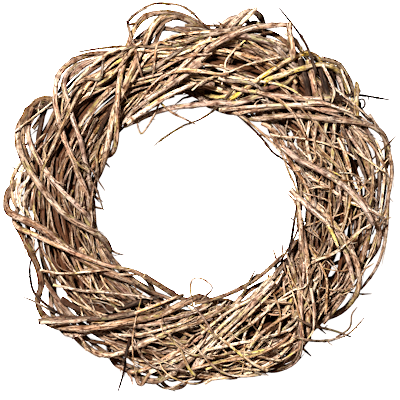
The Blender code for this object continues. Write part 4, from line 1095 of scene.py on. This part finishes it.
def makePiece(name, canes, slot, chance):  # canes is a list of course, radii, fineness and direction out
    points, bark, marks, ends, upward, tones, faces = [], [], [], [], [], [], []
    count = 0
    for path, radii, look, *across in canes:
        made = barkSurface(path, radii, look, chance, *across)
        points.append(made["points"])
        bark.append(made["bark"])
        marks.append(made["marks"])
        ends.append(made["ends"])
        upward.append(made["upward"])
        tone = [chance.uniform(*bounds) for bounds in look["tones"]]
        tones.append(np.tile(tone, (len(made["points"]), 1)))
        faces += (made["quads"] + count).tolist() + (made["fans"] + count).tolist()
        count += len(made["points"])
    points = np.vstack(points)
    # Painted shade: darker bark deep in the bundle, low down and on the steep sides of the canes
    deep = np.maximum(paintedDeepShade(points), flankShade(np.concatenate(upward)))
    points = points + shift
    points[:, 2] = np.maximum(points[:, 2], 0)
    mesh = bpy.data.meshes.new(name)
    mesh.from_pydata(points, [], faces)
    for title, kind, values in (("barkPlace", "FLOAT_VECTOR", np.vstack(bark)),
                                ("caneTone", "FLOAT_VECTOR", np.vstack(tones)),
                                ("knotMark", "FLOAT", np.concatenate(marks)),
                                ("endMark", "FLOAT", np.concatenate(ends)),
                                ("paintedShadeMark", "FLOAT", deep)):
        field = "vector" if kind == "FLOAT_VECTOR" else "value"
        mesh.attributes.new(title, kind, "POINT").data.foreach_set(field, values.astype(np.float32).ravel())
    mesh.shade_smooth()
    piece = bpy.data.objects.new(name, mesh)
    bpy.context.scene.collection.objects.link(piece)
    mesh.materials.append(barks[slot])
    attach(piece, "root")
    return piece


# Materials, with their colours in sRGB

def hexColour(text):
    channels = [int(text[index:index + 2], 16) / 255 for index in (0, 2, 4)]
    return [c / 12.92 if c <= 0.04045 else ((c + 0.055) / 1.055) ** 2.4 for c in channels] + [1.0]


def addNode(material, kind, settings, inputs):
    node = material.node_tree.nodes.new(kind)
    for title, value in settings.items():
        setattr(node, title, value)
    for title, value in inputs.items():
        if isinstance(value, bpy.types.NodeSocket):
            material.node_tree.links.new(value, node.inputs[title])
        else:
            node.inputs[title].default_value = value
    return node


# Dry bark: light is the raised, weathered skin, mid the bark itself and dark the grooves between its fibres.
# Warm is the redder bark in patches and grey the skin that has weathered most.
barkLooks = {
    "dark": {"light": "A68A66", "mid": "65462A", "dark": "200E04", "warm": "74493A", "grey": "7C6A5A",
             "lichen": "7C7040", "spread": 0.20},
    "brown": {"light": "E4CCB4", "mid": "A47A54", "dark": "3E1C06", "warm": "AA8066", "grey": "B6A08C",
              "lichen": "98884E", "spread": 0.26},
    "grey": {"light": "D2BEAA", "mid": "886A4C", "dark": "341806", "warm": "8E6656", "grey": "A29286",
             "lichen": "8C8250", "spread": 0.24},
    "straw": {"light": "F2E2CE", "mid": "D2B08A", "dark": "623816", "warm": "C48E68", "grey": "CAB89C",
              "lichen": "C8B45C", "spread": 0.20},
    "green": {"light": "ECD8B0", "mid": "BC9664", "dark": "42280E", "warm": "B0824A", "grey": "B8A68C",
              "lichen": "D0A822", "spread": 0.72},
    "tendril": {"light": "5C4434", "mid": "2E1E15", "dark": "0E0703", "warm": "3A2214", "grey": "42342A",
                "lichen": "3E341C", "spread": 0.1},
}
# The length of a mark along the cane and its width across, in mm, and the detail of its edge. Most fibres
# and cracks of bark are finer than a pixel of the picture, which is 0.9 mm, so streaks and cracks are drawn
# coarser than they are. The lengths and widths of the others are guessed from the photograph.
# Each size is 1000 mm over the marks in a metre, because bark starts at any place in 20 m of pattern and a
# rounded size would slide it.
barkPatterns = {
    "streak": (1000 / 70, 1000 / 700, 3.0),  # 14 by 1.4 mm
    "crack": (1000 / 110, 1000 / 900, 2.0),  # 9 by 1.1 mm
    "fleck": (1000 / 330, 1000 / 520, 2.0),  # 3 by 1.9 mm
    "patch": (1000 / 90, 1000 / 280, 3.0),  # 11 by 3.6 mm
    "warm": (1000 / 70, 1000 / 230, 2.0),  # 14 by 4.3 mm
    "lichen": (1000 / 60, 1000 / 190, 4.0),  # 17 by 5.3 mm
}
# What lies over the bark in turn: its pattern, where it starts and is full, its most share, and its colour
skinLayers = (("warm", 0.50, 0.60, 0.60, "warm"), ("patch", 0.51, 0.62, 0.60, "grey"),
              ("lichen", 0.62, 0.68, 0.85, "lichen"), ("crack", 0.45, 0.39, 0.92, "dark"),
              ("fleck", 0.44, 0.37, 0.90, "dark"))
# Where the streaks are groove, bark and skin, how the tones move the colour, the cover of knots and of the
# painted shade and its colour, the colour of cut wood, and the depth of the fibres in metres. Roughness and
# specular are set for dry wood, which hardly shines.
barkFinish = {"grooves": 0.30, "bark": 0.46, "skin": 0.66, "edge": 0.6, "lichenGrowth": 0.22,
              "brightness": (0.60, 1.28), "hue": (0.490, 0.512), "richness": (0.78, 1.12), "knot": 0.7,
              "deep": 0.94, "paintedShadeColour": "42200A", "cutWood": "DCC49A", "relief": 0.0010,
              "roughness": 0.90, "specular": 0.15}


# Bark of dead vine is dry and fibrous. It gives the eye matt, uneven brown that is streaked along the cane,
# bleached where it is raised and darkest in its cracks.
def barkMaterial(name, look):
    material = bpy.data.materials.new("dryVineBark_" + name)
    material.use_nodes = True
    shader = material.node_tree.nodes["Principled BSDF"]
    marks = {title: addNode(material, "ShaderNodeAttribute", {"attribute_name": title}, {})
             for title in ("barkPlace", "caneTone", "knotMark", "endMark", "paintedShadeMark")}
    patterns = {}
    for title, (length, width, detail) in barkPatterns.items():
        scale = (1 / (length * mm), 1 / (width * mm), 1 / (width * mm))
        cells = addNode(material, "ShaderNodeMapping", {},
                        {"Vector": marks["barkPlace"].outputs["Vector"], "Scale": scale})
        noise = addNode(material, "ShaderNodeTexNoise", {},
                        {"Vector": cells.outputs["Vector"], "Scale": 1.0, "Detail": detail,
                         "Roughness": barkFinish["edge"]})
        patterns[title] = noise.outputs["Fac"]
    grain = addNode(material, "ShaderNodeValToRGB", {}, {"Fac": patterns["streak"]})
    grain.color_ramp.elements[0].position = barkFinish["grooves"]
    grain.color_ramp.elements[0].color = hexColour(look["dark"])
    grain.color_ramp.elements[1].position = barkFinish["skin"]
    grain.color_ramp.elements[1].color = hexColour(look["light"])
    grain.color_ramp.elements.new(barkFinish["bark"]).color = hexColour(look["mid"])
    bark = grain.outputs["Color"]
    for title, start, full, most, colour in skinLayers:
        spread = barkFinish["lichenGrowth"] * look["spread"] if title == "lichen" else 0
        share = addNode(material, "ShaderNodeMapRange", {},
                        {"Value": patterns[title], "From Min": start - spread, "From Max": full - spread,
                         "To Min": 0.0, "To Max": most})
        layer = addNode(material, "ShaderNodeMix", {"data_type": "RGBA"},
                        {0: share.outputs["Result"], 6: bark, 7: hexColour(look[colour])})
        bark = layer.outputs[2]
    tones = addNode(material, "ShaderNodeSeparateXYZ", {}, {"Vector": marks["caneTone"].outputs["Vector"]})
    shifts = {}
    for axis, title, bounds in (("X", "Value", "brightness"), ("Y", "Hue", "hue"),
                                ("Z", "Saturation", "richness")):
        tone = addNode(material, "ShaderNodeMapRange", {},
                       {"Value": tones.outputs[axis], "To Min": barkFinish[bounds][0],
                        "To Max": barkFinish[bounds][1]})
        shifts[title] = tone.outputs["Result"]
    toned = addNode(material, "ShaderNodeHueSaturation", {}, {"Color": bark, **shifts})
    bark = toned.outputs["Color"]
    # Knots darken and cut ends show wood; the last layer is painted shade, a dark brown over bark deep in the
    # bundle, low down and on steep sides
    for title, most, colour in (("knotMark", barkFinish["knot"], look["dark"]),
                                ("endMark", 1.0, barkFinish["cutWood"]),
                                ("paintedShadeMark", barkFinish["deep"], barkFinish["paintedShadeColour"])):
        share = addNode(material, "ShaderNodeMapRange", {},
                        {"Value": marks[title].outputs["Fac"], "To Min": 0.0, "To Max": most})
        layer = addNode(material, "ShaderNodeMix", {"data_type": "RGBA"},
                        {0: share.outputs["Result"], 6: bark, 7: hexColour(colour)})
        bark = layer.outputs[2]
    material.node_tree.links.new(bark, shader.inputs["Base Color"])
    height = addNode(material, "ShaderNodeMath", {"operation": "ADD"},
                     {0: patterns["streak"], 1: patterns["crack"]})
    bumps = addNode(material, "ShaderNodeBump", {}, {"Height": height.outputs["Value"], "Strength": 1.0,
                                                     "Distance": barkFinish["relief"]})
    material.node_tree.links.new(bumps.outputs["Normal"], shader.inputs["Normal"])
    shader.inputs["Roughness"].default_value = barkFinish["roughness"]
    shader.inputs["Specular IOR Level"].default_value = barkFinish["specular"]
    return material


barks = {name: barkMaterial(name, look) for name, look in barkLooks.items()}

chance = random.Random(3)
for cane in laid:
    kind = cane["node"].split("_")[0]
    look = dict(fineness["bundle" if kind == "hoop" else kind])
    if cane["node"] in darkerCanes:
        look["tones"] = (darkerCanes[cane["node"]],) + look["tones"][1:]
    parts = [(cane["path"], cane["radii"], look)]
    parts += [(points, stubs["radii"], fineness["stub"]) for points in cane["stubs"]]
    parts += growSpurs(cane["path"], chance) + growPeels(cane["path"], cane["radii"], chance)
    piece = makePiece("grown_" + cane["node"], parts, cane["bark"], chance)
    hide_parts(cane["node"])
for cane in strands:
    parts = [(cane["path"], cane["radii"], fineness["strand"])]
    parts += growSpurs(cane["path"], chance) + growPeels(cane["path"], cane["radii"], chance)
    makePiece(cane["node"], parts, cane["bark"], chance)
for cane in tips:
    makePiece(cane["node"], [(cane["path"], cane["radii"], fineness["stray"])], cane["bark"], chance)
for group, members in twigs.items():
    for bark in barkLooks:
        chosen = [(cane["path"], cane["radii"], fineness["twig"]) for cane in members if cane["bark"] == bark]
        if chosen:
            makePiece(f"{group}_{bark}", chosen, bark, chance)


# Floor, light and camera

bpy.ops.object.select_all(action="DESELECT")
ground = {"width": 6, "below": 0.0004}  # metres
bpy.ops.mesh.primitive_plane_add(size=ground["width"], location=(0, 0, -ground["below"]))
floor = bpy.context.object
floor.name = "pale_floor"
# White paper under strong light, which gives the eye an even white with hardly a shadow. It glows for that.
paper = bpy.data.materials.new("whitePaper")
paper.use_nodes = True
paperShader = paper.node_tree.nodes["Principled BSDF"]
paperShader.inputs["Base Color"].default_value = hexColour("FFFFFF")
paperShader.inputs["Emission Color"].default_value = hexColour("FFFFFF")
paperShader.inputs["Emission Strength"].default_value = 1.0
floor.data.materials.append(paper)
floor.visible_diffuse = False
floor.visible_glossy = False


def addSoftbox(name, place, size, power):
    bpy.ops.object.light_add(type="AREA", location=place)
    light = bpy.context.object
    light.name = name
    light.data.shape = "DISK"
    light.data.size = size
    light.data.energy = power
    light.rotation_euler = (-Vector(place)).to_track_quat("-Z", "Y").to_euler()


lights = {"key_softbox": ((-0.50, 0.54, 1.60), 0.20, 97), "fill_softbox": ((0.9, -0.4, 1.3), 0.8, 3)}
for name, (place, size, power) in lights.items():  # metres and watts
    addSoftbox(name, place, size, power)
studio = {"colour": "FFAE6C", "strength": 0.11}  # warm light from all round
world = bpy.data.worlds.new("studio")
world.use_nodes = True
world.node_tree.nodes["Background"].inputs["Color"].default_value = hexColour(studio["colour"])
world.node_tree.nodes["Background"].inputs["Strength"].default_value = studio["strength"]
bpy.context.scene.world = world
bpy.context.scene.view_settings.view_transform = "Standard"

view = {"frame": 0.3600, "height": 1.60, "middle": (0.0027, 0.0027), "sensor": 36, "overCore": 0.010,
        "sharpening": 0.055}
plane = shift[2] + view["overCore"]  # where the frame is as wide as it says
place = (shift[0] + view["middle"][0], shift[1] + view["middle"][1], view["height"])
bpy.ops.object.camera_add(location=place, rotation=(0, 0, 0))
camera = bpy.context.object
camera.data.sensor_width = view["sensor"]
camera.data.lens = view["sensor"] * (view["height"] - plane) / view["frame"]
bpy.context.scene.camera = camera

# A touch of sharpening, as a camera gives
scene = bpy.context.scene
scene.use_nodes = True
scene.node_tree.nodes.clear()
layers = scene.node_tree.nodes.new("CompositorNodeRLayers")
sharpen = scene.node_tree.nodes.new("CompositorNodeFilter")
sharpen.filter_type = "SHARPEN_DIAMOND"
sharpen.inputs["Fac"].default_value = view["sharpening"]
picture = scene.node_tree.nodes.new("CompositorNodeComposite")
scene.node_tree.links.new(layers.outputs["Image"], sharpen.inputs["Image"])
scene.node_tree.links.new(sharpen.outputs["Image"], picture.inputs["Image"])
print("floor, lights and camera set")
